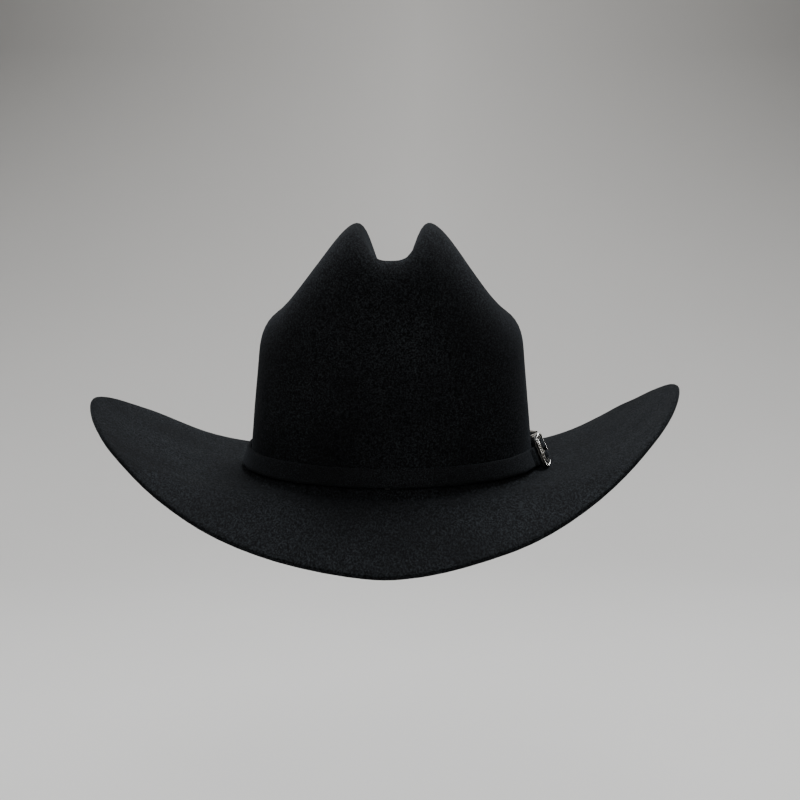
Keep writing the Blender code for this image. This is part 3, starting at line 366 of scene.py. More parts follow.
def lay_mesh(grid: Array, section_closed: bool, path_closed: bool) -> bmesh.types.BMesh:
    """Spin a section of one vertex per row of the grid, then lay each vertex on its place in the grid.

    Args:
        grid: Points in metres as [row, column, axis]; a row runs along the path.
        section_closed: Whether the last row meets the first.
        path_closed: Whether the last column meets the first.

    Returns:
        A closed bmesh with the distances along and across its path, in metres, as its UV map.
    """
    rows, columns = grid.shape[:2]
    turn = FULL_TURN if path_closed else 0.25 * FULL_TURN
    steps = columns if path_closed else columns - 1
    bm = bmesh.new()
    section = [bm.verts.new((row + 1.0, 0.0, 0.0)) for row in range(rows)]
    edges = [bm.edges.new(pair) for pair in zip(section, section[1:])]
    if section_closed:
        edges.append(bm.edges.new((section[-1], section[0])))
    bmesh.ops.spin(bm, geom=section + edges, cent=(0.0, 0.0, 0.0), axis=(0.0, 0.0, 1.0), angle=turn,
                   steps=steps, use_merge=path_closed, use_duplicate=False)
    ahead = np.linalg.norm(np.diff(grid, axis=1), axis=-1).mean(axis=0)
    across = np.linalg.norm(np.diff(grid, axis=0), axis=-1).mean(axis=1)
    along = np.concatenate([[0.0], np.cumsum(ahead)])
    down = np.concatenate([[0.0], np.cumsum(across)])
    places = {}
    for vertex in bm.verts:
        row = round(vertex.co.xy.length) - 1
        column = round(math.atan2(vertex.co.y, vertex.co.x) / turn * steps) % (steps + (not path_closed))
        places[vertex] = (row, column)
        vertex.co = Vector(grid[row, column])
    lay_map(bm, places, along, down, columns if path_closed else 0, rows if section_closed else 0)
    bmesh.ops.remove_doubles(bm, verts=bm.verts, dist=MERGE)
    open_edges = [edge for edge in bm.edges if edge.is_boundary]
    if open_edges:
        bmesh.ops.holes_fill(bm, edges=open_edges)
    bmesh.ops.recalc_face_normals(bm, faces=bm.faces)
    return bm


def lay_map(bm: bmesh.types.BMesh, places: dict, along: Array, down: Array, turn: int, lap: int) -> None:
    """Write the distances along and across the path to the UV map.

    Args:
        bm: The spun mesh.
        places: Row and column of each vertex.
        along: Distance of each column from the first.
        down: Distance of each row from the first.
        turn: Number of columns of a closed path, or 0.
        lap: Number of rows of a closed section, or 0.
    """
    layer = bm.loops.layers.uv.new("cloth")
    for face in bm.faces:
        corners = [places[loop.vert] for loop in face.loops]
        last_row = max(row for row, _ in corners)
        last_column = max(column for _, column in corners)
        for loop, (row, column) in zip(face.loops, corners):
            wraps_along = turn and last_column == turn - 1 and column == 0
            wraps_down = lap and last_row == lap - 1 and row == 0
            u = along[-1] + along[1] if wraps_along else along[column]
            v = down[-1] + down[1] if wraps_down else down[row]
            loop[layer].uv = (u, v)


def sweep(centres: Array, side: Array, up: Array, outline: Array, scale: Array) -> Array:
    """Grid of a solid that follows a line.

    Args:
        centres: Points of the line.
        side: Direction of the outline's first axis at each point.
        up: Direction of the outline's second axis at each point.
        outline: Closed outline as rows of (across, up).
        scale: Half sizes of the outline, as (across, up), the same all along or one pair for each point.

    Returns:
        Points as [row, column, axis].
    """
    scale = np.broadcast_to(np.asarray(scale), (len(centres), 2))
    return np.stack([centres + side * a * scale[:, :1] + up * b * scale[:, 1:] for a, b in outline])


def thread_frame(path: Array, lean: Array, closed: bool) -> tuple[Array, Array]:
    """Side and up directions of a cord along a path.

    Args:
        path: Points of the path.
        lean: A direction that is never along the path.
        closed: Whether the path ends where it starts.

    Returns:
        Two arrays of unit vectors.
    """
    if closed:
        ahead = np.roll(path, -1, axis=0) - np.roll(path, 1, axis=0)
    else:
        ahead = np.gradient(path, axis=0)
    side = unit(np.cross(unit(ahead), lean))
    return side, np.cross(side, unit(ahead))


def stitch(path: Array, lean: Array, radius: float) -> bmesh.types.BMesh:
    """Short round thread along a path, closed at its ends.

    Args:
        path: Points of the path.
        lean: A direction that is never along the path.
        radius: Radius of the thread.

    Returns:
        The thread as a closed mesh.
    """
    side, up = thread_frame(path, lean, closed=False)
    return lay_mesh(sweep(path, side, up, rounded(2.0, 6), (radius, radius)), True, False)


@dataclass
class Piece:
    """Name, body, slot and material of a finished mesh, and the frame's parts that it stands for."""

    name: str
    body: Body
    slot: Slot
    material: bpy.types.Material
    stands_for: tuple[str, ...] = ()
    sharp: float = 50.0

    def make(self, bm: bmesh.types.BMesh) -> bpy.types.Object:
        """Turn a bmesh into the shown object, hang it on its body and hide the frame's parts that it stands
        for.

        Args:
            bm: The finished mesh, in place; it is freed.

        Returns:
            The object.
        """
        mesh = bpy.data.meshes.new(self.name)
        bm.to_mesh(mesh)
        bm.free()
        mesh.shade_smooth()
        mesh.set_sharp_from_angle(angle=math.radians(self.sharp))
        mesh.materials.append(self.material)
        item = bpy.data.objects.new(self.name, mesh)
        bpy.context.collection.objects.link(item)
        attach(item, self.body.value)
        if self.stands_for:
            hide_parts(*self.stands_for)
        LOG.info("%s: %d faces on %s", self.name, len(mesh.polygons), self.body.value)
        return item


def joined(parts: Iterable[bmesh.types.BMesh]) -> bmesh.types.BMesh:
    """One bmesh that holds all the given ones, which are freed."""
    whole = bmesh.new()
    for part in parts:
        scratch = bpy.data.meshes.new("scratch")
        part.to_mesh(scratch)
        part.free()
        whole.from_mesh(scratch)
        bpy.data.meshes.remove(scratch)
    return whole


# Finishes -------------------------------------------------------------------------------------------

class Nodes:
    """Short hand for building one node tree."""

    def __init__(self, tree: bpy.types.NodeTree) -> None:
        """Keep the tree that is built."""
        self.tree = tree

    def add(self, kind: str, **values: object) -> bpy.types.Node:
        """Add a node.

        Args:
            kind: The node's type.
            values: Its inputs by name, with _ for a space, as numbers or as sockets to link from; a name in
                lower case is one of the node's own settings.

        Returns:
            The node.
        """
        node = self.tree.nodes.new(kind)
        for name, value in values.items():
            if name[0].islower():
                setattr(node, name, value)
                continue
            socket = node.inputs[int(name[1:])] if name[1:].isdigit() else node.inputs[name.replace("_", " ")]
            if isinstance(value, bpy.types.NodeSocket):
                self.tree.links.new(value, socket)
            else:
                socket.default_value = value
        return node

    def math(self, operation: str, first: object, second: object = 0.0,
             third: object = 0.0) -> bpy.types.NodeSocket:
        """Output of a Math node."""
        return self.add("ShaderNodeMath", operation=operation, I0=first, I1=second, I2=third).outputs[0]

    def mix(self, share: object, first: object, second: object) -> bpy.types.NodeSocket:
        """Colour between two colours."""
        node = self.add("ShaderNodeMix", data_type="RGBA", Factor=share, I6=first, I7=second)
        return node.outputs[2]


def new_group(name: str, inputs: dict[str, float], outputs: dict[str, str]) -> tuple[Nodes, dict, dict]:
    """Start a node group with named sockets.

    Args:
        name: The group's name.
        inputs: Default of each number that the group takes, besides its Vector.
        outputs: Type of each socket that it gives.

    Returns:
        The builder, the inner sockets of the inputs and those of the outputs.
    """
    tree = bpy.data.node_groups.new(name, "ShaderNodeTree")
    tree.interface.new_socket("Vector", in_out="INPUT", socket_type="NodeSocketVector")
    for label, value in inputs.items():
        socket = tree.interface.new_socket(label, in_out="INPUT", socket_type="NodeSocketFloat")
        socket.default_value = value
    for label, kind in outputs.items():
        tree.interface.new_socket(label, in_out="OUTPUT", socket_type=kind)
    nodes = Nodes(tree)
    taken = tree.nodes.new("NodeGroupInput")
    given = tree.nodes.new("NodeGroupOutput")
    return nodes, taken.outputs, given.inputs


@functools.cache
def nap_group() -> bpy.types.NodeTree:
    """Brushed wool fibres: a mask of lighter fibres, broad clouding and the height of the nap."""
    nodes, taken, given = new_group("nap", {"Fineness": 1400.0, "Clouding": 18.0},
                                    {"Fibres": "NodeSocketFloat", "Clouds": "NodeSocketFloat",
                                     "Height": "NodeSocketFloat"})
    stretch = nodes.add("ShaderNodeMapping", Vector=taken["Vector"], Scale=(1.0, 0.35, 1.0),
                        Rotation=(0.0, 0.0, 0.6))
    swirl = nodes.add("ShaderNodeTexNoise", Vector=taken["Vector"], Scale=90.0, Detail=2.0)
    bent = nodes.add("ShaderNodeVectorMath", operation="MULTIPLY_ADD", I0=swirl.outputs["Color"],
                     I1=(0.004, 0.004, 0.004), I2=stretch.outputs[0])
    fibre = nodes.add("ShaderNodeTexNoise", Vector=bent.outputs[0], Scale=taken["Fineness"], Detail=3.0,
                      Roughness=0.65)
    clump = nodes.add("ShaderNodeTexNoise", Vector=taken["Vector"], Scale=260.0, Detail=3.0)
    cloud = nodes.add("ShaderNodeTexNoise", Vector=taken["Vector"], Scale=taken["Clouding"], Detail=4.0)
    fine = nodes.add("ShaderNodeMapRange", Value=fibre.outputs["Fac"], From_Min=0.42, From_Max=0.72)
    broad = nodes.add("ShaderNodeMapRange", Value=cloud.outputs["Fac"], From_Min=0.3, From_Max=0.7)
    height = nodes.math("ADD", nodes.math("MULTIPLY", fibre.outputs["Fac"], 0.6), clump.outputs["Fac"])
    nodes.tree.links.new(fine.outputs[0], given["Fibres"])
    nodes.tree.links.new(broad.outputs[0], given["Clouds"])
    nodes.tree.links.new(height, given["Height"])
    return nodes.tree


@functools.cache
def weave_group() -> bpy.types.NodeTree:
    """Crossed threads: a mask of the thread on top and the height of the cloth."""
    nodes, taken, given = new_group("weave", {"Warp": 900.0, "Weft": 900.0},
                                    {"Over": "NodeSocketFloat", "Height": "NodeSocketFloat"})
    split = nodes.add("ShaderNodeSeparateXYZ", Vector=taken["Vector"])
    along = nodes.math("SINE", nodes.math("MULTIPLY", split.outputs["X"], taken["Warp"]))
    across = nodes.math("SINE", nodes.math("MULTIPLY", split.outputs["Y"], taken["Weft"]))
    over = nodes.math("MULTIPLY_ADD", nodes.math("MULTIPLY", along, across), 0.5)
    height = nodes.math("ADD", nodes.math("ABSOLUTE", along), nodes.math("ABSOLUTE", across))
    nodes.tree.links.new(over, given["Over"])
    nodes.tree.links.new(height, given["Height"])
    return nodes.tree


@functools.cache
def grain_group() -> bpy.types.NodeTree:
    """Leather grain: pebbles with creases between them, and broad toning."""
    nodes, taken, given = new_group("grain", {"Pebbles": 900.0},
                                    {"Crease": "NodeSocketFloat", "Tone": "NodeSocketFloat",
                                     "Height": "NodeSocketFloat"})
    cells = nodes.add("ShaderNodeTexVoronoi", feature="DISTANCE_TO_EDGE", Vector=taken["Vector"],
                      Scale=taken["Pebbles"])
    pores = nodes.add("ShaderNodeTexNoise", Vector=taken["Vector"], Scale=2600.0, Detail=2.0)
    tone = nodes.add("ShaderNodeTexNoise", Vector=taken["Vector"], Scale=35.0, Detail=4.0)
    crease = nodes.add("ShaderNodeMapRange", Value=cells.outputs["Distance"], From_Max=0.16)
    height = nodes.math("ADD", crease.outputs[0], nodes.math("MULTIPLY", pores.outputs["Fac"], 0.35))
    nodes.tree.links.new(crease.outputs[0], given["Crease"])
    nodes.tree.links.new(tone.outputs["Fac"], given["Tone"])
    nodes.tree.links.new(height, given["Height"])
    return nodes.tree


@functools.cache
def age_group() -> bpy.types.NodeTree:
    """Age on metal: black left in the hollows, polish on the high points, and fine scratches."""
    nodes, taken, given = new_group("age", {"Relief": 1.0},
                                    {"Bright": "NodeSocketFloat", "Height": "NodeSocketFloat"})
    stain = nodes.add("ShaderNodeTexNoise", Vector=taken["Vector"], Scale=420.0, Detail=5.0, Roughness=0.7)
    scratch = nodes.add("ShaderNodeTexNoise", Vector=taken["Vector"], Scale=1500.0, Detail=2.0,
                        Distortion=2.0)
    worn = nodes.math("ADD", taken["Relief"], nodes.math("MULTIPLY_ADD", stain.outputs["Fac"], 0.9, -0.45))
    bright = nodes.add("ShaderNodeMapRange", Value=worn, From_Min=0.46, From_Max=0.92)
    nodes.tree.links.new(bright.outputs[0], given["Bright"])
    nodes.tree.links.new(scratch.outputs["Fac"], given["Height"])
    return nodes.tree


def new_material(name: str) -> tuple[bpy.types.Material, Nodes, bpy.types.Node]:
    """Material with its Principled shader, ready for its nodes."""
    material = bpy.data.materials.new(name)
    material.use_nodes = True
    nodes = Nodes(material.node_tree)
    return material, nodes, material.node_tree.nodes["Principled BSDF"]


def grey(level: float, tint: float = 0.0) -> tuple[float, float, float, float]:
    """Grey of a level, turned cool by a positive tint and warm by a negative one."""
    return (level * (1.0 - tint), level, level * (1.0 + tint), 1.0)


@dataclass(frozen=True)
class FeltFinish:
    """Brushed black felt."""

    name: str
    ground: float = 0.0022
    fibre: float = 0.030
    sheen: float = 0.03
    bump: float = 0.8
    fineness: float = 1000.0

    def material(self) -> bpy.types.Material:
        """Build the material."""
        material, nodes, shader = new_material(self.name)
        place = nodes.add("ShaderNodeTexCoord").outputs["Object"]
        nap = nodes.add("ShaderNodeGroup", node_tree=nap_group(), Vector=place, Fineness=self.fineness)
        share = nodes.math("MULTIPLY", nap.outputs["Fibres"],
                           nodes.math("MULTIPLY_ADD", nap.outputs["Clouds"], 0.6, 0.4))
        colour = nodes.mix(share, grey(self.ground, 0.04), grey(self.fibre, 0.12))
        bump = nodes.add("ShaderNodeBump", Height=nap.outputs["Height"], Strength=self.bump,
                         Distance=0.25 * MM)
        nodes.tree.links.new(colour, shader.inputs["Base Color"])
        nodes.tree.links.new(bump.outputs[0], shader.inputs["Normal"])
        shader.inputs["Roughness"].default_value = 0.95
        shader.inputs["Specular IOR Level"].default_value = 0.05
        shader.inputs["Sheen Weight"].default_value = self.sheen
        shader.inputs["Sheen Roughness"].default_value = 0.45
        shader.inputs["Sheen Tint"].default_value = (0.62, 0.68, 0.78, 1.0)
        return material


@dataclass(frozen=True)
class ClothFinish:
    """Woven cloth: ribbon, tape, satin or thread."""

    name: str
    colour: tuple[float, float, float, float]
    raised: tuple[float, float, float, float]
    roughness: float
    warp: float
    weft: float
    sheen: float = 0.2
    bump: float = 0.4

    def material(self) -> bpy.types.Material:
        """Build the material."""
        material, nodes, shader = new_material(self.name)
        place = nodes.add("ShaderNodeUVMap", uv_map="cloth").outputs[0]
        weave = nodes.add("ShaderNodeGroup", node_tree=weave_group(), Vector=place, Warp=self.warp,
                          Weft=self.weft)
        uneven = nodes.add("ShaderNodeTexNoise", Vector=nodes.add("ShaderNodeTexCoord").outputs["Object"],
                           Scale=70.0, Detail=4.0)
        share = nodes.math("MULTIPLY", weave.outputs["Over"], uneven.outputs["Fac"])
        bump = nodes.add("ShaderNodeBump", Height=weave.outputs["Height"], Strength=self.bump,
                         Distance=0.15 * MM)
        rough = nodes.add("ShaderNodeMapRange", Value=uneven.outputs["Fac"], To_Min=self.roughness - 0.08,
                          To_Max=self.roughness + 0.08)
        nodes.tree.links.new(nodes.mix(share, self.colour, self.raised), shader.inputs["Base Color"])
        nodes.tree.links.new(bump.outputs[0], shader.inputs["Normal"])
        nodes.tree.links.new(rough.outputs[0], shader.inputs["Roughness"])
        shader.inputs["Sheen Weight"].default_value = self.sheen
        shader.inputs["Specular IOR Level"].default_value = 0.3
        return material


@dataclass(frozen=True)
class LeatherFinish:
    """Grained leather with a waxed face."""

    name: str
    light: tuple[float, float, float, float]
    dark: tuple[float, float, float, float]
    roughness: float = 0.48

    def material(self) -> bpy.types.Material:
        """Build the material."""
        material, nodes, shader = new_material(self.name)
        place = nodes.add("ShaderNodeTexCoord").outputs["Object"]
        grain = nodes.add("ShaderNodeGroup", node_tree=grain_group(), Vector=place)
        toned = nodes.mix(grain.outputs["Tone"], self.dark, self.light)
        creased = nodes.mix(grain.outputs["Crease"], self.dark, toned)
        bump = nodes.add("ShaderNodeBump", Height=grain.outputs["Height"], Strength=0.3, Distance=0.12 * MM)
        rough = nodes.add("ShaderNodeMapRange", Value=grain.outputs["Crease"], To_Min=self.roughness + 0.2,
                          To_Max=self.roughness)
        nodes.tree.links.new(creased, shader.inputs["Base Color"])
        nodes.tree.links.new(bump.outputs[0], shader.inputs["Normal"])
        nodes.tree.links.new(rough.outputs[0], shader.inputs["Roughness"])
        return material


@dataclass(frozen=True)
class SilverFinish:
    """Silver plate, blackened in its hollows; the piece's relief attribute says what stands proud."""

    name: str
    bright: tuple[float, float, float, float] = (0.66, 0.64, 0.60, 1.0)
    black: tuple[float, float, float, float] = (0.012, 0.012, 0.013, 1.0)
    chased: bool = True

    def material(self) -> bpy.types.Material:
        """Build the material."""
        material, nodes, shader = new_material(self.name)
        place = nodes.add("ShaderNodeTexCoord").outputs["Object"]
        relief = 0.75
        if self.chased:
            relief = nodes.add("ShaderNodeAttribute", attribute_name="relief").outputs["Fac"]
        age = nodes.add("ShaderNodeGroup", node_tree=age_group(), Vector=place, Relief=relief)
        bright = age.outputs["Bright"]
        bump = nodes.add("ShaderNodeBump", Height=age.outputs["Height"], Strength=0.12, Distance=0.05 * MM)
        rough = nodes.add("ShaderNodeMapRange", Value=bright, To_Min=0.6, To_Max=0.2)
        nodes.tree.links.new(nodes.mix(bright, self.black, self.bright), shader.inputs["Base Color"])
        nodes.tree.links.new(rough.outputs[0], shader.inputs["Roughness"])
        nodes.tree.links.new(bump.outputs[0], shader.inputs["Normal"])
        shader.inputs["Metallic"].default_value = 1.0
        return material


@dataclass(frozen=True)
class ClearFinish:
    """Clear plastic sheet, faintly hazed."""

    name: str

    def material(self) -> bpy.types.Material:
        """Build the material."""
        material, nodes, shader = new_material(self.name)
        place = nodes.add("ShaderNodeTexCoord").outputs["Object"]
        haze = nodes.add("ShaderNodeTexNoise", Vector=place, Scale=120.0, Detail=5.0)
        rough = nodes.add("ShaderNodeMapRange", Value=haze.outputs["Fac"], To_Min=0.04, To_Max=0.18)
        nodes.tree.links.new(rough.outputs[0], shader.inputs["Roughness"])
        shader.inputs["Base Color"].default_value = (0.93, 0.95, 0.96, 1.0)
        shader.inputs["Transmission Weight"].default_value = 1.0
        shader.inputs["IOR"].default_value = 1.35
        return material


FELT = FeltFinish("black_felt")
BAND_FELT = FeltFinish("band_felt", ground=0.004, fibre=0.028, sheen=0.04, fineness=1500.0)
LEATHER = LeatherFinish("tan_leather", light=(0.30, 0.155, 0.075, 1.0), dark=(0.16, 0.075, 0.034, 1.0))
CHAPE_LEATHER = LeatherFinish("black_leather", light=grey(0.02), dark=grey(0.006))
SATIN = ClothFinish("lining_satin", grey(0.030, 0.05), grey(0.085, 0.06), 0.34, 5200.0, 2600.0, bump=0.15)
RIBBON = ClothFinish("black_ribbon", grey(0.008), grey(0.030), 0.5, 5200.0, 1400.0)
CHAPE_THREAD = LeatherFinish("chape_thread_wax", light=grey(0.05), dark=grey(0.012))
TAN_THREAD = ClothFinish("tan_thread", (0.34, 0.19, 0.10, 1.0), (0.50, 0.31, 0.18, 1.0), 0.6, 9000.0, 5200.0)
TAPE = ClothFinish("black_tape", grey(0.010), grey(0.036), 0.85, 3600.0, 3600.0)
THREAD = ClothFinish("black_thread", grey(0.010), grey(0.045), 0.7, 9000.0, 5200.0)
REED = ClothFinish("reed_core", (0.70, 0.66, 0.55, 1.0), (0.78, 0.75, 0.66, 1.0), 0.5, 900.0, 400.0, bump=0.1)
SILVER = SilverFinish("aged_silver")
PLAIN_SILVER = SilverFinish("plain_silver", chased=False)
CLEAR = ClearFinish("clear_sheet")


# Felt body ------------------------------------------------------------------------------------------

@dataclass
class FeltBody:
    """Crown and brim of one piece of felt, with a raw cut edge."""

    block: Block
    segments: int = 256
    wander: float = 0.28 * MM
    edge_rough: float = 0.12 * MM

    def stations(self, fine: float) -> list[float]:
        """Stations from the ridge line to the cut edge.

        Args:
            fine: How close they lie, 1 for the outer face.

        Returns:
            Stations in order.
        """
        spans = ((0.0, 1.0, 26), (1.0, 2.0, 20), (2.0, 3.0, 8), (3.0, 4.0, 10), (4.0, 5.0, 26))
        places = [np.linspace(low, high, round(count * fine), endpoint=False) for low, high, count in spans]
        return [float(place) for place in np.concatenate(places)] + [5.0]

    def unevenness(self, point: Array, station: float) -> Array:
        """Slight waves that pressing and handling leave, none where the hatband lies."""
        x, y, z = point[..., 0], point[..., 1], point[..., 2]
        wave = (np.sin(41.0 * x + 17.0 * y + 0.6) * np.sin(33.0 * y - 29.0 * z + 1.1)
                + 0.6 * np.sin(83.0 * x - 57.0 * y + 61.0 * z) * np.sin(71.0 * y + 2.0))
        clear = 1.0 - ease(station, 2.3, 2.7) * (1.0 - ease(station, 4.05, 4.4))
        return self.wander * wave * clear

    def face(self, angle: Array, station: float, depth: float) -> Array:
        """Ring of the felt's face, a depth below the outer one."""
        normal = self.block.normal(angle, station)
        point = self.block.surface(angle, station)
        return point + normal * (self.unevenness(point, station)[..., None] - depth)

    def rim(self, angle: Array, top: Array, foot: Array) -> list[Array]:
        """Rings round the cut edge, from the upper face to the lower."""
        inner = self.block.surface(angle, 4.98)
        outward = unit(self.block.surface(angle, 5.0) - inner)
        rings = []
        for turn in np.linspace(-0.9, 0.9, 7):
            reach = self.block.edge_round * (1.0 - abs(turn) ** 5)
            ragged = self.edge_rough * np.sin(163.0 * angle + 5.0 * turn) * np.sin(71.0 * angle + 9.0 * turn)
            share = 0.5 + 0.5 * turn
            rings.append(top + (foot - top) * share + outward * (reach + ragged)[..., None])
        return rings

    def build(self) -> None:
        """Make the felt body."""
        angle = full_circle(self.segments)
        outer = [self.face(angle, s, 0.0) for s in self.stations(1.0)]
        inner = [self.face(angle, s, self.block.thickness(s)) for s in reversed(self.stations(0.6))]
        grid = np.stack(outer + self.rim(angle, outer[-1], inner[0]) + inner)
        bm = lay_mesh(grid, section_closed=False, path_closed=True)
        Piece("felt_crown_and_brim", Body.HAT, Slot.FELT, FELT.material(), ("felt_body",), 70.0).make(bm)


# Hatband and buckle set -----------------------------------------------------------------------------

@dataclass
class StrapLine:
    """Seat of the hatband on the felt; distances run from the buckle's bar, backwards on the left side."""

    block: Block
    foot_station: float = 3.54
    top_station: float = 2.98
    bar_angle: float = math.radians(83.0)
    start: float = 4.6 * MM
    end: float = 52.0 * MM
    half_height: float = 5.6 * MM
    free_half_height: float = 5.1 * MM
    thickness: float = 1.8 * MM
    gap: float = 0.65 * MM
    eased: float = 2.3 * MM
    layer_gap: float = 0.4 * MM
    crest: float = 6.2 * MM
    lift_start: tuple[float, float] = (-30.0 * MM, -22.0 * MM)
    lift_end: tuple[float, float] = (34.0 * MM, 43.0 * MM)
    lap_rise: tuple[float, float] = (-14.5 * MM, -3.0 * MM)
    lap_fall: tuple[float, float] = (11.2 * MM, 18.0 * MM)
    lap_narrow: tuple[float, float] = (-22.0 * MM, -12.0 * MM)
    lap_from: float = 26.0 * MM
    start_until: float = 44.0 * MM
    angles: Array = field(init=False)
    lengths: Array = field(init=False)
    bar_length: float = field(init=False)
    lap: float = field(init=False)

    def __post_init__(self) -> None:
        """Measure the seat once round."""
        self.angles = np.linspace(self.bar_angle - 0.6, self.bar_angle + FULL_TURN + 0.9, 1500)
        foot, top = self.seat(self.angles)
        pieces = np.linalg.norm(np.diff(0.5 * (foot + top), axis=0), axis=-1)
        self.lengths = np.concatenate([[0.0], np.cumsum(pieces)])
        self.bar_length = float(np.interp(self.bar_angle, self.angles, self.lengths))
        self.lap = float(np.interp(self.bar_angle + FULL_TURN, self.angles, self.lengths)) - self.bar_length

    def seat(self, angle: Array) -> tuple[Array, Array]:
        """Foot and top of the seat on the felt."""
        return self.block.surface(angle, self.foot_station), self.block.surface(angle, self.top_station)

    def place(self, along: Array, up: Array, out: Array) -> Array:
        """World points on the strap.

        Args:
            along: Distance from the bar.
            up: Height over the strap's middle line.
            out: Distance out from the seat.

        Returns:
            Points in metres.
        """
        angle = np.interp(np.asarray(along) + self.bar_length, self.lengths, self.angles)
        foot, top = self.seat(angle)
        before, after = self.seat(angle - 0.01), self.seat(angle + 0.01)
        ahead = unit((after[0] + after[1]) - (before[0] + before[1]))
        rise = unit(top - foot)
        outward = unit(np.cross(ahead, rise))
        return 0.5 * (foot + top) + rise * np.asarray(up)[..., None] + outward * np.asarray(out)[..., None]

    def wrap(self, bm: bmesh.types.BMesh) -> bmesh.types.BMesh:
        """Lay a flat mesh, made as (along, up, out), on the curved strap."""
        flat = np.array([vertex.co[:] for vertex in bm.verts])
        for vertex, point in zip(bm.verts, self.place(flat[:, 0], flat[:, 1], flat[:, 2])):
            vertex.co = Vector(point)
        return bm

    def base(self, along: Array) -> Array:
        """Height of the lower layer: eased off the felt where the keeper passes behind it."""
        near = ease(along, *self.lift_start) * (1.0 - ease(along, *self.lift_end))
        return self.gap + (self.eased - self.gap) * near

    def lapped(self, along: Array) -> Array:
        """Height of the free end: over the bar, then down onto the lower layer."""
        layer = self.base(along) + self.thickness + self.layer_gap
        over = self.crest + (layer - self.crest) * ease(along, *self.lap_fall)
        return self.base(along) + (over - self.base(along)) * ease(along, *self.lap_rise)


@dataclass
class Hatband:
    """Felt strap round the crown, with a turned edge and a slot for the buckle's tongue."""

    line: StrapLine
    step: float = 1.3 * MM
    slot_front: float = -11.0 * MM
    slot_rear: float = 3.2 * MM
    slot_half: float = 1.7 * MM
    tack_half_width: float = 1.1 * MM
    thread_radius: float = 0.22 * MM

    def profile(self) -> Array:
        """Outline of the strap as (up, out) from -1 to 1, with rows at the slot's sides."""
        ups = np.array([-1.0, -0.98, -0.9, -0.6, -0.334, 0.334, 0.6, 0.9, 0.98, 1.0])
        outs = np.array([0.0, 0.55, 0.9, 1.0, 1.0, 1.0, 1.0, 0.9, 0.55, 0.0])
        face = np.stack([ups, outs], axis=-1)
        back = np.stack([ups[-2:0:-1], -outs[-2:0:-1]], axis=-1)
        return np.concatenate([face, back])

    def strap(self) -> bmesh.types.BMesh:
        """Strap, once round and on to its free end."""
        line = self.line
        along = np.arange(line.start, line.lap + line.end, self.step)
        past = along - line.lap
        height = np.where(past < -line.lap_from, line.base(along), line.lapped(past))
        height = np.where(along < line.start_until, line.base(along), height)
        narrow = ease(past, *line.lap_narrow)
        half = line.half_height + (line.free_half_height - line.half_height) * narrow
        middle = height + 0.5 * line.thickness
        waver = 1.0 + 0.015 * np.sin(along * 210.0) + 0.012 * np.sin(along * 77.0 + 1.0)
        rows = [line.place(along, up * half * waver, middle + out * 0.5 * line.thickness)
                for up, out in self.profile()]
        flat = np.stack([along, past], axis=-1)
        bm = lay_mesh(np.stack(rows), section_closed=True, path_closed=False)
        self.cut_slot(bm, flat)
        return bm

    def cut_slot(self, bm: bmesh.types.BMesh, flat: Array) -> None:
        """Open the slot through the free end.

        Args:
            bm: The strap.
            flat: Distance of each column from the start and from the bar behind the lap.
        """
        line = self.line
        low, high = self.slot_front, self.slot_rear
        lapped = line.lapped(np.array([0.5 * (low + high)]))[0]
        centre = line.place(np.array([line.lap + 0.5 * (low + high)]), np.zeros(1), np.array([lapped]))[0]
        reach = 0.5 * (high - low)
        doomed = []
        layer = bm.loops.layers.uv["cloth"]
        first = float(flat[0, 0])
        scale = float(flat[-1, 0] - first) / max(loop[layer].uv.x for face in bm.faces for loop in face.loops)
        for face in bm.faces:
            middle = face.calc_center_median()
            if (middle - Vector(centre)).length > 2.0 * reach:
                continue
            along = sum(loop[layer].uv.x for loop in face.loops) / len(face.loops) * scale + first - line.lap
            if low < along < high and self.across(middle, along) < self.slot_half * 0.9:
                doomed.append(face)
        bmesh.ops.delete(bm, geom=doomed, context="FACES")
        rim = [edge for edge in bm.edges if edge.is_boundary]
        bmesh.ops.bridge_loops(bm, edges=rim)
        bmesh.ops.recalc_face_normals(bm, faces=bm.faces)

    def across(self, point: Vector, past: float) -> float:
        """Distance of a point from the strap's middle line, up or down."""
        line = self.line
        spot = np.array([line.lap + past])
        middle = line.place(spot, np.zeros(1), np.zeros(1))[0]
        above = line.place(spot, np.full(1, MM), np.zeros(1))[0]
        return abs((point - Vector(middle)).dot(Vector(unit(above - middle))))

    def tacks(self) -> bmesh.types.BMesh:
        """Short stitches that hold the strap's lower edge down, five to a tack."""
        line = self.line
        parts = []
        for angle in (FULL_TURN, math.pi, 1.5 * math.pi):
            middle = float(np.interp(angle, line.angles, line.lengths)) - line.bar_length
            for shift in np.linspace(-self.tack_half_width, self.tack_half_width, 5):
                rise = np.linspace(-0.6 * MM, 0.9 * MM, 7)
                bulge = 0.7 * MM + 0.35 * MM * np.cos(np.linspace(-1.5, 1.5, 7))
                path = line.place(middle + shift + 0.2 * rise, rise - line.half_height, bulge + 0.4 * MM)
                ahead = line.place(middle + 5 * MM, 0.0, 0.0) - path[0]
                parts.append(stitch(path, ahead, self.thread_radius))
        return joined(parts)

    def build(self) -> None:
        """Make the strap and its tacks."""
        felt = BAND_FELT.material()
        Piece("felt_hatband", Body.HAT, Slot.FELT, felt, ("hatband",)).make(self.strap())
        names = ("band_tack_front", "band_tack_back", "band_tack_right")
        Piece("band_tacks", Body.HAT, Slot.THREAD, THREAD.material(), names).make(self.tacks())


def lay_relief(bm: bmesh.types.BMesh, height: Iterable[float]) -> None:
    """Write how far each vertex stands proud, from 0 to 1, to the relief attribute."""
    layer = bm.verts.layers.float.new("relief")
    for vertex, value in zip(bm.verts, height):
        vertex[layer] = float(value)


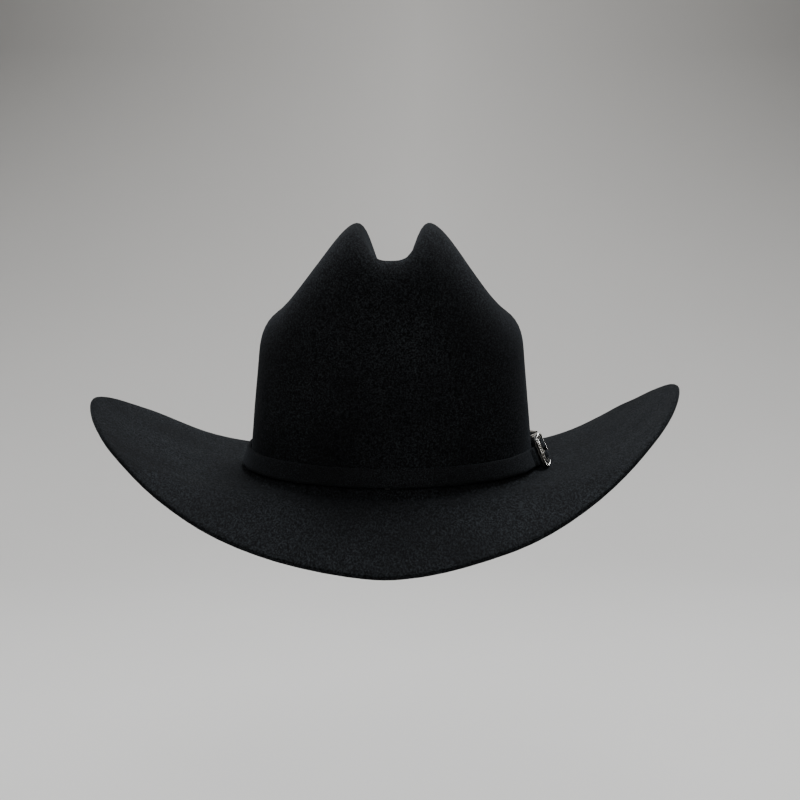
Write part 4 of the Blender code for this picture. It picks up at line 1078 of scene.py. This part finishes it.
@dataclass
class BuckleSet:
    """Engraved western buckle set in its flat form (along, up, out): frame, tongue, keeper and tip."""

    line: StrapLine
    bar_radius: float = 0.8 * MM
    bar_height: float = 3.9 * MM
    frame_length: float = 22.0 * MM
    frame_height: float = 19.5 * MM
    rail: float = 3.2 * MM
    front_extra: float = 2.6 * MM
    frame_thickness: float = 2.6 * MM
    frame_base: float = 4.5 * MM
    frame_shift: float = 0.7 * MM
    eye_middle: float = 1.5 * MM
    eye_half: float = 0.35 * MM
    tongue_width: float = 2.0 * MM
    tongue_thickness: float = 1.0 * MM
    tongue_reach: float = 20.6 * MM
    keeper_centre: float = 24.5 * MM
    keeper_half: float = 2.5 * MM
    keeper_height: float = 7.1 * MM
    keeper_front: float = 1.5 * MM
    keeper_back: float = 0.6 * MM
    clearance: float = 0.35 * MM
    tip_start: float = 36.0 * MM
    tip_length: float = 20.0 * MM
    tip_height: float = 6.4 * MM
    tip_thickness: float = 1.9 * MM
    bead: float = 0.48 * MM
    scroll_reach: float = 0.72 * MM
    ground_depth: float = 0.45 * MM
    bead_rise: float = 0.05 * MM

    def beads(self, places: Array) -> bmesh.types.BMesh:
        """Row of beads at flat places; they stand fully proud."""
        parts = []
        for place in places:
            bm = bmesh.new()
            bmesh.ops.create_icosphere(bm, subdivisions=2, radius=self.bead)
            bmesh.ops.translate(bm, verts=bm.verts, vec=Vector(place))
            parts.append(bm)
        return joined(parts)

    def scroll(self, centre: Array, reach: float, turn: float, hand: float) -> bmesh.types.BMesh:
        """Raised scroll: a tapering spiral that lies on a face.

        Args:
            centre: Flat place of the spiral's eye.
            reach: Radius at its outer end.
            turn: Direction of its outer end.
            hand: 1 or -1, the way it winds.

        Returns:
            The scroll as a closed mesh.
        """
        share = np.linspace(0.0, 1.0, 22)
        angle = turn + hand * 1.25 * FULL_TURN * (1.0 - share)
        radius = reach * (0.12 + 0.88 * share ** 1.2)
        path = np.stack([centre[0] + radius * np.cos(angle), centre[1] + radius * np.sin(angle),
                         np.full(22, centre[2])], axis=-1)
        side, up = thread_frame(path, np.array([0.0, 0.0, 1.0]), closed=False)
        width = 0.30 * MM * np.sin(math.pi * np.clip(share, 0.08, 0.93)) ** 0.5
        scale = np.stack([width, 0.9 * width], axis=-1)
        return lay_mesh(sweep(path, side, up, rounded(2.0, 6), scale), True, False)

    def dressed(self, plate: bmesh.types.BMesh, relief: Iterable[float],
                raised: list[bmesh.types.BMesh]) -> bmesh.types.BMesh:
        """Plate with its raised work, wrapped on the strap."""
        lay_relief(plate, relief)
        for part in raised:
            lay_relief(part, [1.0] * len(part.verts))
        return self.line.wrap(joined([plate] + raised))

    def frame_ring(self, turns: Array) -> tuple[Array, Array, Array, Array, Array]:
        """Middle line of the frame: place, inward direction, rail width, low and high faces."""
        outline = oval(turns, 0.5 * self.frame_length, 0.5 * self.frame_height, 5.0)
        centre = 0.5 * (self.rail - self.frame_length)
        along = centre + outline[:, 0]
        up = outline[:, 1] + self.frame_shift
        heel = ease(along, -3.6 * MM, -1.0 * MM) * (1.0 - ease(np.abs(up), 7.0 * MM, 8.2 * MM))
        nose = ease(-along, 0.6 * self.frame_length, 0.82 * self.frame_length)
        rail = self.rail + self.front_extra * nose + (2.0 * self.bar_radius - self.rail) * heel
        low = self.frame_base + (self.bar_height - self.bar_radius - self.frame_base) * heel
        top = self.frame_base + self.frame_thickness
        high = top + (self.bar_height + self.bar_radius - top) * heel
        shift = (0.5 * self.rail - self.bar_radius) * heel
        return np.stack([along, up, shift], axis=-1), unit(outline), rail, low, high

    def frame(self) -> bmesh.types.BMesh:
        """Cast frame with a beaded outer rim, a plain inner lip and scrolls on its rails."""
        turns = full_circle(160)
        place, inward, rail, low, high = self.frame_ring(turns)
        profile = ((0.0, 0.3), (0.12, 0.0), (0.5, 0.0), (0.88, 0.0), (1.0, 0.3), (1.0, 0.75), (0.94, 0.97),
                   (0.82, 1.0), (0.76, 0.84), (0.5, 0.8), (0.26, 0.84), (0.2, 1.0), (0.06, 0.97), (0.0, 0.75))
        rows = []
        for across, lift in profile:
            step = place[:, 2] + rail * across
            rows.append(np.stack([place[:, 0] - inward[:, 0] * step, place[:, 1] - inward[:, 1] * step,
                                  low + (high - low) * lift], axis=-1))
        plate = lay_mesh(np.stack(rows), True, True)
        base, top = self.frame_base, self.frame_base + self.frame_thickness
        relief = [0.95 if vertex.co.z > top - 0.25 * MM or vertex.co.z < base + MM else 0.2
                  for vertex in plate.verts]
        return self.dressed(plate, relief, self.frame_work(top))

    def frame_work(self, top: float) -> list[bmesh.types.BMesh]:
        """Beads round the frame's rim and scrolls along its three broad rails."""
        turns = np.linspace(0.0, FULL_TURN, 73)[:-1]
        place, inward, rail, _, _ = self.frame_ring(turns)
        broad = rail > 0.9 * self.rail
        spots = place[broad][:, :2] - inward[broad] * 0.13 * self.rail
        inner = place[broad][:, :2] - inward[broad] * (rail[broad] - 0.13 * self.rail)[:, None]
        raised = [self.beads(np.column_stack([row, np.full(len(row), top + self.bead_rise)]))
                  for row in (spots, inner[rail[broad] > 1.5 * self.rail])]
        front = self.rail - self.frame_length
        middle = 0.52 * self.rail
        face = top - self.ground_depth
        edge = 0.5 * self.frame_height - middle
        for side in (-1.0, 1.0):
            for index in range(6):
                along = -2.9 * MM - index * 2.5 * MM
                centre = (along, side * edge + self.frame_shift, face)
                raised.append(self.scroll(centre, self.scroll_reach, math.pi * index, side * (-1.0) ** index))
        for index in range(6):
            up = (index - 2.5) * 2.35 * MM + self.frame_shift
            for shift in (0.0, 0.5 * self.front_extra):
                centre = (front - 0.5 * self.rail + middle + shift, up, face)
                raised.append(self.scroll(centre, self.scroll_reach, (0.5 + index) * math.pi,
                                          (-1.0) ** index))
        return raised

    def tongue(self) -> bmesh.types.BMesh:
        """Prong: an eye round the bar and a tapering arm that rests on the front rail."""
        turns = np.radians(np.linspace(250.0, 0.0, 22))
        rest = self.frame_base + self.frame_thickness + 0.35 * MM + 0.5 * self.tongue_thickness
        arm = np.linspace(-3.2 * MM, -self.tongue_reach, 30)
        reach = np.abs(arm) / self.tongue_reach
        lift = self.bar_height + self.eye_middle + 0.35 * MM
        along = np.concatenate([np.sin(turns) * self.eye_middle, arm])
        out = np.concatenate([self.bar_height + np.cos(turns) * self.eye_middle,
                              lift + (rest - lift) * ease(reach, 0.1, 0.85)])
        thick = np.concatenate([np.full(22, self.eye_half), np.full(30, 0.5 * self.tongue_thickness)])
        wide = 0.5 * self.tongue_width * np.concatenate([np.ones(22), 1.0 - 0.45 * reach ** 3])
        wide[-2:] *= (0.8, 0.5)
        path = np.stack([along, 0.0 * along, out], axis=-1)
        side, _ = thread_frame(path, np.array([0.0, 1.0, 0.0]), closed=False)
        grid = sweep(path, np.broadcast_to([0.0, 1.0, 0.0], path.shape), side, rounded(3.0, 12),
                     np.stack([wide, thick], axis=-1))
        plate = lay_mesh(grid, True, False)
        return self.dressed(plate, [0.85] * len(plate.verts), [])

    def keeper(self) -> bmesh.types.BMesh:
        """Loop round both layers, with a beaded border and one scroll pair on its crowned front."""
        line = self.line
        layers = line.eased + 2.0 * line.thickness + line.layer_gap
        back = line.eased - self.clearance - self.keeper_back
        front = layers + self.clearance
        turns = full_circle(48)
        outer = oval(turns, 1.0, 1.0, 6.0) * 0.5 + 0.5
        inner = oval(turns, 1.0, 1.0, 9.0) * 0.5 + 0.5
        top = front + self.keeper_front
        rows = []
        for shape, places, low, high, height in (
                (outer, (-0.92, -1.0, -0.9, 0.9, 1.0, 0.92), back, top, self.keeper_height),
                (inner, (1.0, -1.0), line.eased - self.clearance, front, self.keeper_height - MM)):
            for place in places:
                inset = 0.12 * MM if abs(place) == 1.0 and shape is outer else 0.0
                along = np.full(48, self.keeper_centre + place * self.keeper_half)
                up = (shape[:, 0] * 2.0 - 1.0) * (height - inset)
                out = low + inset + (high - low - 2.0 * inset) * shape[:, 1]
                rows.append(np.stack([along, up, out], axis=-1))
        plate = lay_mesh(np.stack(rows), True, True)
        relief = [0.15 if vertex.co.z > top - 0.3 * MM and abs(vertex.co.y) < 5.6 * MM else 0.9
                  for vertex in plate.verts]
        ups = np.linspace(-5.6, 5.6, 13) * MM
        spots = [(self.keeper_centre + side * 2.05 * MM, up, top) for side in (-1.0, 1.0) for up in ups]
        raised = [self.beads(np.array(spots))]
        for index, up in enumerate(np.linspace(-4.2, 4.2, 4) * MM):
            raised.append(self.scroll((self.keeper_centre, up, top + 0.05 * MM), 1.1 * MM,
                                      0.5 * math.pi * (-1.0) ** index, (-1.0) ** index))
        return self.dressed(plate, relief, raised)

    def tip_half(self, share: Array) -> Array:
        """Half height of the tip along its length."""
        return self.tip_height * np.sqrt(np.maximum(1.0 - np.maximum((share - 0.35) / 0.66, 0.0) ** 2, 0.0))

    def tip(self) -> bmesh.types.BMesh:
        """Metal tip with a rounded point, a beaded border and scrolls that shrink towards the point."""
        line = self.line
        share = 1.0 - np.linspace(1.0, 0.0, 40) ** 1.6
        along = self.tip_start + self.tip_length * share
        half = self.tip_half(share)
        base = line.lapped(along) + line.thickness + self.clearance
        rows = []
        for across, lift in ((-0.94, 0.0), (0.0, 0.0), (0.94, 0.0), (1.0, 0.4), (0.97, 0.85), (0.88, 1.0),
                             (0.8, 0.84), (0.4, 0.8), (0.0, 0.8), (-0.4, 0.8), (-0.8, 0.84), (-0.88, 1.0),
                             (-0.97, 0.85), (-1.0, 0.4)):
            rows.append(np.stack([along, across * half, base + lift * self.tip_thickness], axis=-1))
        plate = lay_mesh(np.stack(rows), True, False)
        flat = float(base[-1]) + 0.82 * self.tip_thickness
        relief = [0.2 if vertex.co.z > flat - 0.3 * MM and vertex.co.z < flat + 0.2 * MM
                  and abs(vertex.co.y) < 0.85 * self.tip_height else 0.9 for vertex in plate.verts]
        raised = [self.beads(self.tip_border(flat))]
        for index in range(4):
            centre = self.tip_start + (3.4 + 3.7 * index) * MM
            reach = (1.75 - 0.24 * index) * MM
            for side in (-1.0, 1.0):
                spot = (centre, side * reach * 1.15, flat + 0.05 * MM)
                raised.append(self.scroll(spot, reach, side * 0.5 * math.pi, side))
        return self.dressed(plate, relief, raised)

    def tip_border(self, flat: float) -> Array:
        """Places of the beads round the tip."""
        share = 0.06 + 0.9 * np.sin(np.linspace(0.0, 0.25 * FULL_TURN, 15))
        spots = []
        for side in (-1.0, 1.0):
            half = np.maximum(self.tip_half(share) * 0.88 - 0.1 * MM, 0.0)
            spots.append(np.stack([self.tip_start + share * (self.tip_length - 0.6 * MM), side * half,
                                   np.full(15, flat + 0.22 * MM)], axis=-1))
        return np.concatenate(spots)

    def build(self) -> None:
        """Make the four pieces: the frame, tongue and keeper each on its own body, the tip on the hat's."""
        chased = SILVER.material()
        Piece("engraved_frame", Body.BUCKLE, Slot.SILVER, chased, ("buckle_frame",)).make(self.frame())
        Piece("tongue_prong", Body.TONGUE, Slot.SILVER, chased, ("buckle_tongue",)).make(self.tongue())
        Piece("engraved_keeper", Body.KEEPER, Slot.SILVER, chased, ("keeper_loop",)).make(self.keeper())
        Piece("engraved_tip", Body.HAT, Slot.SILVER, chased, ("strap_tip",)).make(self.tip())


# Inside of the crown --------------------------------------------------------------------------------

@dataclass
class Sweatband:
    """Leather band with its reeded edge, tape, stitches, back seam and bow."""

    block: Block
    depth: float = 4.1 * MM
    thickness: float = 1.0 * MM
    foot: float = 4.0 * MM
    top: float = 50.0 * MM
    seam: float = math.radians(0.35)
    reed_radius: float = 0.8 * MM
    reed_depth: float = 4.6 * MM
    reed_z: float = 1.6 * MM
    tape_gap: float = 0.35 * MM
    tape_thickness: float = 0.35 * MM
    flange_z: float = 8.0 * MM
    flange_depth: float = 3.1 * MM
    stitches: int = 124
    zigzag_height: float = 2.4 * MM
    seam_thread_radius: float = 0.25 * MM
    hem_thread_radius: float = 0.22 * MM
    seam_tape: float = math.radians(5.0)
    seam_tape_foot: float = 10.0 * MM
    seam_tape_top: float = 22.0 * MM
    seam_tape_thickness: float = 0.5 * MM
    bow_z: float = 15.0 * MM
    bow_half_width: float = 13.0 * MM
    bow_half_height: float = 4.5 * MM
    bow_waist: float = 1.6 * MM
    bow_gap: float = 1.2 * MM
    bow_thickness: float = 1.8 * MM
    knot_half_width: float = 2.3 * MM
    knot_half_height: float = 2.4 * MM
    knot_thickness: float = 0.8 * MM
    knot_gap: float = 1.35 * MM

    def strip(self, angle: Array, profile: list[tuple[Array, Array]], closed: bool) -> bmesh.types.BMesh:
        """Strip inside the crown with a closed profile of (height, depth) pairs."""
        rows = [self.block.inside(angle, height, depth) for height, depth in profile]
        return lay_mesh(np.stack(rows), section_closed=True, path_closed=closed)

    def leather(self) -> bmesh.types.BMesh:
        """Band with rounded edges, pressed in along its stitch line and slightly wavy at the top."""
        cut = math.pi + self.seam
        angle = np.linspace(cut, cut + FULL_TURN - 2.0 * self.seam, 240)
        near, far = self.depth, self.depth + self.thickness
        wave = 0.35 * MM * np.sin(7.0 * angle + 0.5) + 0.2 * MM * np.sin(19.0 * angle)
        heights = np.concatenate([[0.0, 0.01], np.linspace(0.05, 0.95, 16), [0.985, 1.0]])
        front, back = [], []
        for share in heights:
            height = self.foot + (self.top - self.foot + wave * share) * share
            rounding = 0.3 * MM * (abs(2.0 * share - 1.0) > 0.975)
            pressed = 0.22 * MM * math.exp(-((share - 0.08) / 0.02) ** 2)
            lean = 0.35 * MM * share ** 2 * (1.0 + np.sin(5.0 * angle + 2.0))
            front.append((height, far + lean - rounding - pressed))
            back.append((height, near + 0.5 * lean + rounding))
        return self.strip(angle, back + front[::-1], closed=False)

    def seam_stitches(self) -> bmesh.types.BMesh:
        """Zigzag stitches over the back seam."""
        parts = []
        heights = np.arange(self.foot + 6.0 * MM, self.top - 2.0 * MM, self.zigzag_height)
        for index, height in enumerate(heights):
            hand = 1.0 if index % 2 else -1.0
            angle = math.pi + hand * np.linspace(-0.020, 0.020, 7)
            depth = self.depth + self.thickness + 0.35 * MM * np.cos(np.linspace(-1.4, 1.4, 7)) + 0.15 * MM
            path = self.block.inside(angle, height + np.linspace(0.0, self.zigzag_height, 7), depth)
            parts.append(stitch(path, np.array([0.0, 1.0, 0.0]), self.seam_thread_radius))
        return joined(parts)

    def hem_stitches(self) -> bmesh.types.BMesh:
        """Row of separate stitches that hold the tape to the felt, seen from under the brim."""
        parts = []
        for angle in full_circle(self.stitches):
            turn = angle + np.linspace(-0.014, 0.014, 6)
            height = self.reed_z - 1.5 * MM - 0.25 * MM * np.cos(np.linspace(-1.4, 1.4, 6))
            path = self.block.inside(turn, height, np.full(6, self.flange_depth - 0.1 * MM))
            parts.append(stitch(path, np.array([0.0, 0.0, 1.0]), self.hem_thread_radius))
        return joined(parts)

    def reed(self) -> bmesh.types.BMesh:
        """Round core inside the folded tape."""
        profile = [(self.reed_z + self.reed_radius * b, self.reed_depth + self.reed_radius * a)
                   for a, b in rounded(2.0, 10)]
        return self.strip(full_circle(144), profile, closed=True)

    def tape(self) -> bmesh.types.BMesh:
        """Cloth folded round the reed, with a flange up behind the leather."""
        hug = self.reed_radius + self.tape_gap
        shell = hug + self.tape_thickness
        turns = np.radians(np.linspace(180.0, 360.0, 12))
        outer = [(self.reed_z + shell * math.sin(t), self.reed_depth + shell * math.cos(t)) for t in turns]
        inner = [(self.reed_z + hug * math.sin(t), self.reed_depth + hug * math.cos(t)) for t in turns[::-1]]
        flange = [(self.flange_z, self.flange_depth + self.tape_thickness),
                  (self.flange_z, self.flange_depth)]
        return self.strip(full_circle(240), outer + inner + flange, closed=True)

    def backing(self) -> bmesh.types.BMesh:
        """Narrow cloth strip behind the seam."""
        angle = np.linspace(math.pi - self.seam_tape, math.pi + self.seam_tape, 17)
        low, high = self.seam_tape_foot, self.seam_tape_top
        near, far = self.flange_depth, self.flange_depth + self.seam_tape_thickness
        return self.strip(angle, [(low, near), (high, near), (high, far), (low, far)], closed=False)

    def bow(self) -> bmesh.types.BMesh:
        """Two flat loops of ribbon that narrow to a waist, each folded over at its end."""
        seat = self.block.inside(np.array([math.pi]), self.bow_z, self.depth + self.thickness)[0]
        face = seat[1] - self.bow_gap
        across = np.linspace(-1.0, 1.0, 61)
        spread = np.abs(across)
        flare = np.sin(0.5 * math.pi * spread ** 0.8)
        half = self.bow_waist + (self.bow_half_height - self.bow_waist) * flare
        swell = self.bow_thickness * (0.35 + 0.65 * np.sin(math.pi * np.clip(spread, 0.0, 0.93)))
        x = across * self.bow_half_width
        back = face - 0.5 * x ** 2 / self.block.wall_half_width
        gather = 0.12 * MM * (1.0 - spread)
        rows = []
        for lift, depth in ((-1.0, 0.1), (-0.5, 0.0), (0.0, 0.0), (0.5, 0.0), (1.0, 0.1), (1.0, 0.85),
                            (0.9, 1.0), (0.45, 1.0), (0.0, 0.92), (-0.45, 1.0), (-0.9, 1.0), (-1.0, 0.85)):
            fold = gather * np.cos(lift * 9.0) * (depth > 0.5)
            rows.append(np.stack([x, back - depth * swell - fold, self.bow_z + lift * half], axis=-1))
        return lay_mesh(np.stack(rows), True, False)

    def knot(self) -> bmesh.types.BMesh:
        """Ribbon wrapped over the bow's waist."""
        seat = self.block.inside(np.array([math.pi]), self.bow_z, self.depth + self.thickness)[0]
        face = seat[1] - self.bow_gap - 0.35 * self.bow_thickness - self.knot_gap
        across = np.linspace(-1.0, 1.0, 17)
        rise = self.knot_thickness * np.cos(0.4 * math.pi * across)
        rows = []
        for lift, depth in ((-1.0, 0.0), (0.0, 0.0), (1.0, 0.0), (0.92, 0.7), (0.7, 1.0), (0.0, 1.08),
                            (-0.7, 1.0), (-0.92, 0.7)):
            rows.append(np.stack([across * self.knot_half_width, face - depth * rise,
                                  0.0 * across + self.bow_z + lift * self.knot_half_height], axis=-1))
        return lay_mesh(np.stack(rows), True, False)

    def build(self) -> None:
        """Make every piece of the band."""
        tape, ribbon, thread = TAPE.material(), RIBBON.material(), THREAD.material()
        Piece("leather_sweatband", Body.HAT, Slot.LEATHER, LEATHER.material(), ("sweatband",)).make(
            self.leather())
        Piece("seam_zigzag", Body.HAT, Slot.THREAD, TAN_THREAD.material()).make(self.seam_stitches())
        Piece("hem_stitches", Body.HAT, Slot.THREAD, thread, ("sweatband_thread",)).make(self.hem_stitches())
        Piece("reed_core", Body.HAT, Slot.REED, REED.material(), ("sweatband_reed",)).make(self.reed())
        Piece("folded_reed_tape", Body.HAT, Slot.TAPE, tape, ("reed_tape",)).make(self.tape())
        Piece("seam_backing", Body.HAT, Slot.TAPE, tape, ("back_seam_tape",)).make(self.backing())
        Piece("ribbon_bow", Body.HAT, Slot.RIBBON, ribbon, ("bow_ribbon",)).make(self.bow())
        Piece("ribbon_knot", Body.HAT, Slot.RIBBON, ribbon, ("bow_knot",)).make(self.knot())


@dataclass
class Lining:
    """Satin lining: an oval top, a gathered side, the piping between them and the clear shield."""

    block: Block
    depth: float = 3.2 * MM
    tip_depth: float = 3.8 * MM
    thickness: float = 0.4 * MM
    seam: float = 1.36
    foot: float = 2.7
    piping_radius: float = 0.6 * MM
    piping_gap: float = 0.016
    slack: float = 0.6
    shield_fall: float = 1.6 * MM
    pleats: int = 64
    pleat_depth: float = 0.8 * MM

    def ring(self, angle: Array, station: float, depth: float) -> Array:
        """Ring of the sheet: level with the crease under the ridges, along the felt further out."""
        if station >= 1.0:
            return self.block.ring(angle, station, depth)
        spine = self.block.ring(angle, 0.0, depth)
        edge = self.block.ring(angle, 1.0, depth)
        ring = spine + (edge - spine) * station
        rise = max(station - self.slack, 0.0) / (1.0 - self.slack)
        ring[:, 2] = spine[:, 2] + (edge[:, 2] - spine[:, 2]) * rise ** 1.3
        return ring

    def sheet(self, stations: Array, depth: float, fall: float, pleated: bool) -> bmesh.types.BMesh:
        """Thin sheet with an upper and a lower face.

        Args:
            stations: Stations of its rings, from the top down.
            depth: Depth of its upper face below the felt's outer one.
            fall: How far it is let down.
            pleated: Whether it is gathered at its top.

        Returns:
            The sheet as a closed mesh.
        """
        angle = full_circle(384 if pleated else 144)
        upper, lower = [], []
        for station in stations:
            pleat = np.zeros_like(angle)
            if pleated:
                fade = 1.0 - ease(station, 1.4, 2.1)
                pleat = self.pleat_depth * fade * (0.5 + 0.5 * np.sin(self.pleats * angle
                                                                      + 1.3 * np.sin(7.0 * angle)))
            place = self.ring(angle, float(station), depth)
            inward = self.block.normal(angle, max(float(station), 1.0))
            if station <= 1.0:
                inward = np.broadcast_to([0.0, 0.0, 1.0], inward.shape)
            place = place - inward * pleat[:, None] - np.array([0.0, 0.0, fall])
            upper.append(place)
            lower.append(place - inward * self.thickness)
        return lay_mesh(np.stack(upper + lower[::-1]), float(stations[0]) > 0.0, path_closed=True)

    def piping(self) -> bmesh.types.BMesh:
        """Twisted piping in the seam between top and side."""
        angle = full_circle(720)
        centres = self.block.ring(angle, self.seam, self.depth + 0.9 * MM)
        side, up = thread_frame(centres, np.array([0.0, 0.0, 1.0]), closed=True)
        rows = []
        for turn in full_circle(10):
            twist = turn + 240.0 * angle
            radius = self.piping_radius * (1.0 + 0.12 * np.cos(2.0 * twist))[:, None]
            rows.append(centres + (side * math.cos(turn) + up * math.sin(turn)) * radius)
        return lay_mesh(np.stack(rows), True, True)

    def build(self) -> None:
        """Make the four pieces."""
        satin = SATIN.material()
        top = np.concatenate([np.linspace(0.0, 1.0, 16), np.linspace(1.06, self.seam - self.piping_gap, 6)])
        side = np.linspace(self.seam + self.piping_gap, self.foot, 22)
        Piece("satin_top", Body.HAT, Slot.SATIN, satin, ("lining_tip",)).make(
            self.sheet(top, self.tip_depth, 0.0, pleated=False))
        Piece("gathered_side", Body.HAT, Slot.SATIN, satin, ("lining_side",)).make(
            self.sheet(side, self.depth, 0.0, pleated=True))
        Piece("twisted_piping", Body.HAT, Slot.RIBBON, RIBBON.material(), ("lining_piping",)).make(
            self.piping())
        Piece("clear_shield", Body.HAT, Slot.CLEAR, CLEAR.material(), ("tip_shield",)).make(
            self.sheet(np.linspace(0.0, 1.0, 14), self.tip_depth, self.shield_fall, pleated=False))


def dress_frame() -> None:
    """Give the frame's own nodes that still show their finished materials."""
    finishes = {"buckle_chape": CHAPE_LEATHER.material(), "chape_thread": CHAPE_THREAD.material(),
                "tip_pin_front": PLAIN_SILVER.material(), "tip_pin_rear": PLAIN_SILVER.material()}
    for name, material in finishes.items():
        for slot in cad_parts[name].material_slots:
            slot.material = material
        LOG.info("%s: dressed", name)


# Studio ---------------------------------------------------------------------------------------------

@dataclass(frozen=True)
class Lamp:
    """Soft area light."""

    name: str
    place: tuple[float, float, float]
    aim: tuple[float, float, float]
    size: float
    power: float
    colour: tuple[float, float, float] = (1.0, 1.0, 1.0)

    def build(self) -> None:
        """Hang the light."""
        light = bpy.data.lights.new(self.name, "AREA")
        light.shape = "DISK"
        light.size = self.size
        light.energy = self.power
        light.color = self.colour
        item = bpy.data.objects.new(self.name, light)
        item.location = self.place
        item.rotation_euler = (Vector(self.aim) - Vector(self.place)).to_track_quat("-Z", "Y").to_euler()
        bpy.context.collection.objects.link(item)


@dataclass
class Studio:
    """Pale floor that rises into a round backdrop, soft lights and the camera."""

    floor_z: float = -0.30
    flat_radius: float = 1.2
    bend_radius: float = 0.9
    height: float = 3.2
    focal: float = 95.28
    camera_place: tuple[float, float, float] = (0.0269, -1.2997, 0.1968)
    camera_turn: tuple[float, float, float] = (83.2, 0.0, 1.185)
    shift_x: float = 0.0104
    lamps: tuple[Lamp, ...] = (
        Lamp("top_back", (0.15, 0.62, 1.5), (0.0, 0.0, 0.05), 1.0, 43.0, (0.93, 0.96, 1.0)),
        Lamp("left_high", (-1.2, 0.3, 1.3), (0.0, 0.0, 0.05), 0.9, 3.0),
        Lamp("right_high", (1.3, 0.2, 1.3), (0.0, 0.0, 0.05), 0.9, 0.8),
        Lamp("front_floor", (0.0, -1.5, 1.3), (0.0, -0.95, -0.3), 0.8, 9.0),
    )

    def paper(self) -> bpy.types.Material:
        """Pale paper with painted shade that darkens it towards the upper sides; its outer side lets the view
        through.
        """
        material, nodes, shader = new_material("pale_paper")
        place = nodes.add("ShaderNodeTexCoord").outputs["Object"]
        axes = nodes.add("ShaderNodeSeparateXYZ", Vector=place)
        aside = nodes.add("ShaderNodeMapRange", Value=nodes.math("ABSOLUTE", axes.outputs["X"]),
                          From_Min=0.0, From_Max=0.65)
        above = nodes.add("ShaderNodeMapRange", Value=axes.outputs["Z"], From_Min=-0.25, From_Max=0.35)
        mottle = nodes.add("ShaderNodeTexNoise", Vector=place, Scale=3.0, Detail=3.0)
        plain = nodes.mix(mottle.outputs["Fac"], (0.68, 0.66, 0.63, 1.0), (0.73, 0.71, 0.68, 1.0))
        # Painted shade: the paper's colour darkens towards its upper sides, standing in for light that falls
        # off there.
        painted_shade = nodes.math("MULTIPLY", aside.outputs[0], above.outputs[0])
        nodes.tree.links.new(nodes.mix(painted_shade, plain, (0.29, 0.28, 0.265, 1.0)), shader.inputs["Base Color"])
        shader.inputs["Roughness"].default_value = 0.9
        outer = nodes.add("ShaderNodeNewGeometry").outputs["Backfacing"]
        clear = nodes.add("ShaderNodeBsdfTransparent")
        both = nodes.add("ShaderNodeMixShader", I0=outer, I1=shader.outputs[0], I2=clear.outputs[0])
        nodes.tree.links.new(both.outputs[0], nodes.tree.nodes["Material Output"].inputs["Surface"])
        return material

    def backdrop(self) -> None:
        """Lay the floor and spin its rising edge round it."""
        bm = bmesh.new()
        points = [(0.0, self.floor_z), (self.flat_radius, self.floor_z)]
        for turn in np.linspace(0.0, 0.5 * math.pi, 24)[1:]:
            points.append((self.flat_radius + self.bend_radius * math.sin(turn),
                           self.floor_z + self.bend_radius * (1.0 - math.cos(turn))))
        points.append((self.flat_radius + self.bend_radius, self.height))
        line = [bm.verts.new((radius, 0.0, z)) for radius, z in points]
        edges = [bm.edges.new(pair) for pair in zip(line, line[1:])]
        bmesh.ops.spin(bm, geom=line + edges, cent=(0.0, 0.0, 0.0), axis=(0.0, 0.0, 1.0), angle=FULL_TURN,
                       steps=96, use_merge=True, use_duplicate=False)
        bmesh.ops.remove_doubles(bm, verts=bm.verts, dist=MERGE)
        bmesh.ops.recalc_face_normals(bm, faces=bm.faces)
        lowest = min(bm.faces, key=lambda face: face.calc_center_median().length)
        if lowest.normal.z < 0.0:
            bmesh.ops.reverse_faces(bm, faces=bm.faces)
        mesh = bpy.data.meshes.new("backdrop")
        bm.to_mesh(mesh)
        bm.free()
        mesh.shade_smooth()
        mesh.materials.append(self.paper())
        item = bpy.data.objects.new("backdrop", mesh)
        bpy.context.collection.objects.link(item)

    def camera(self) -> None:
        """Set up the camera."""
        lens = bpy.data.cameras.new("view")
        lens.lens = self.focal
        lens.sensor_width = 36.0
        lens.shift_x = self.shift_x
        lens.dof.use_dof = False
        item = bpy.data.objects.new("view", lens)
        item.location = self.camera_place
        item.rotation_euler = [math.radians(turn) for turn in self.camera_turn]
        bpy.context.collection.objects.link(item)
        bpy.context.scene.camera = item

    def world(self) -> None:
        """Even light from all round."""
        world = bpy.data.worlds.new("studio")
        world.use_nodes = True
        background = world.node_tree.nodes["Background"]
        background.inputs["Color"].default_value = (0.95, 0.97, 1.0, 1.0)
        background.inputs["Strength"].default_value = 0.22
        bpy.context.scene.world = world

    def build(self) -> None:
        """Make the studio."""
        self.camera()
        self.backdrop()
        self.world()
        for lamp in self.lamps:
            lamp.build()
        LOG.info("studio: %d lamps", len(self.lamps))


def main() -> None:
    """Build the studio and every piece."""
    logging.basicConfig(level=logging.INFO, format="%(name)s %(message)s")
    block = Block()
    line = StrapLine(block)
    for part in (Studio(), FeltBody(block), Hatband(line), BuckleSet(line), Sweatband(block), Lining(block)):
        part.build()
    dress_frame()


if __name__ == "__main__":
    main()
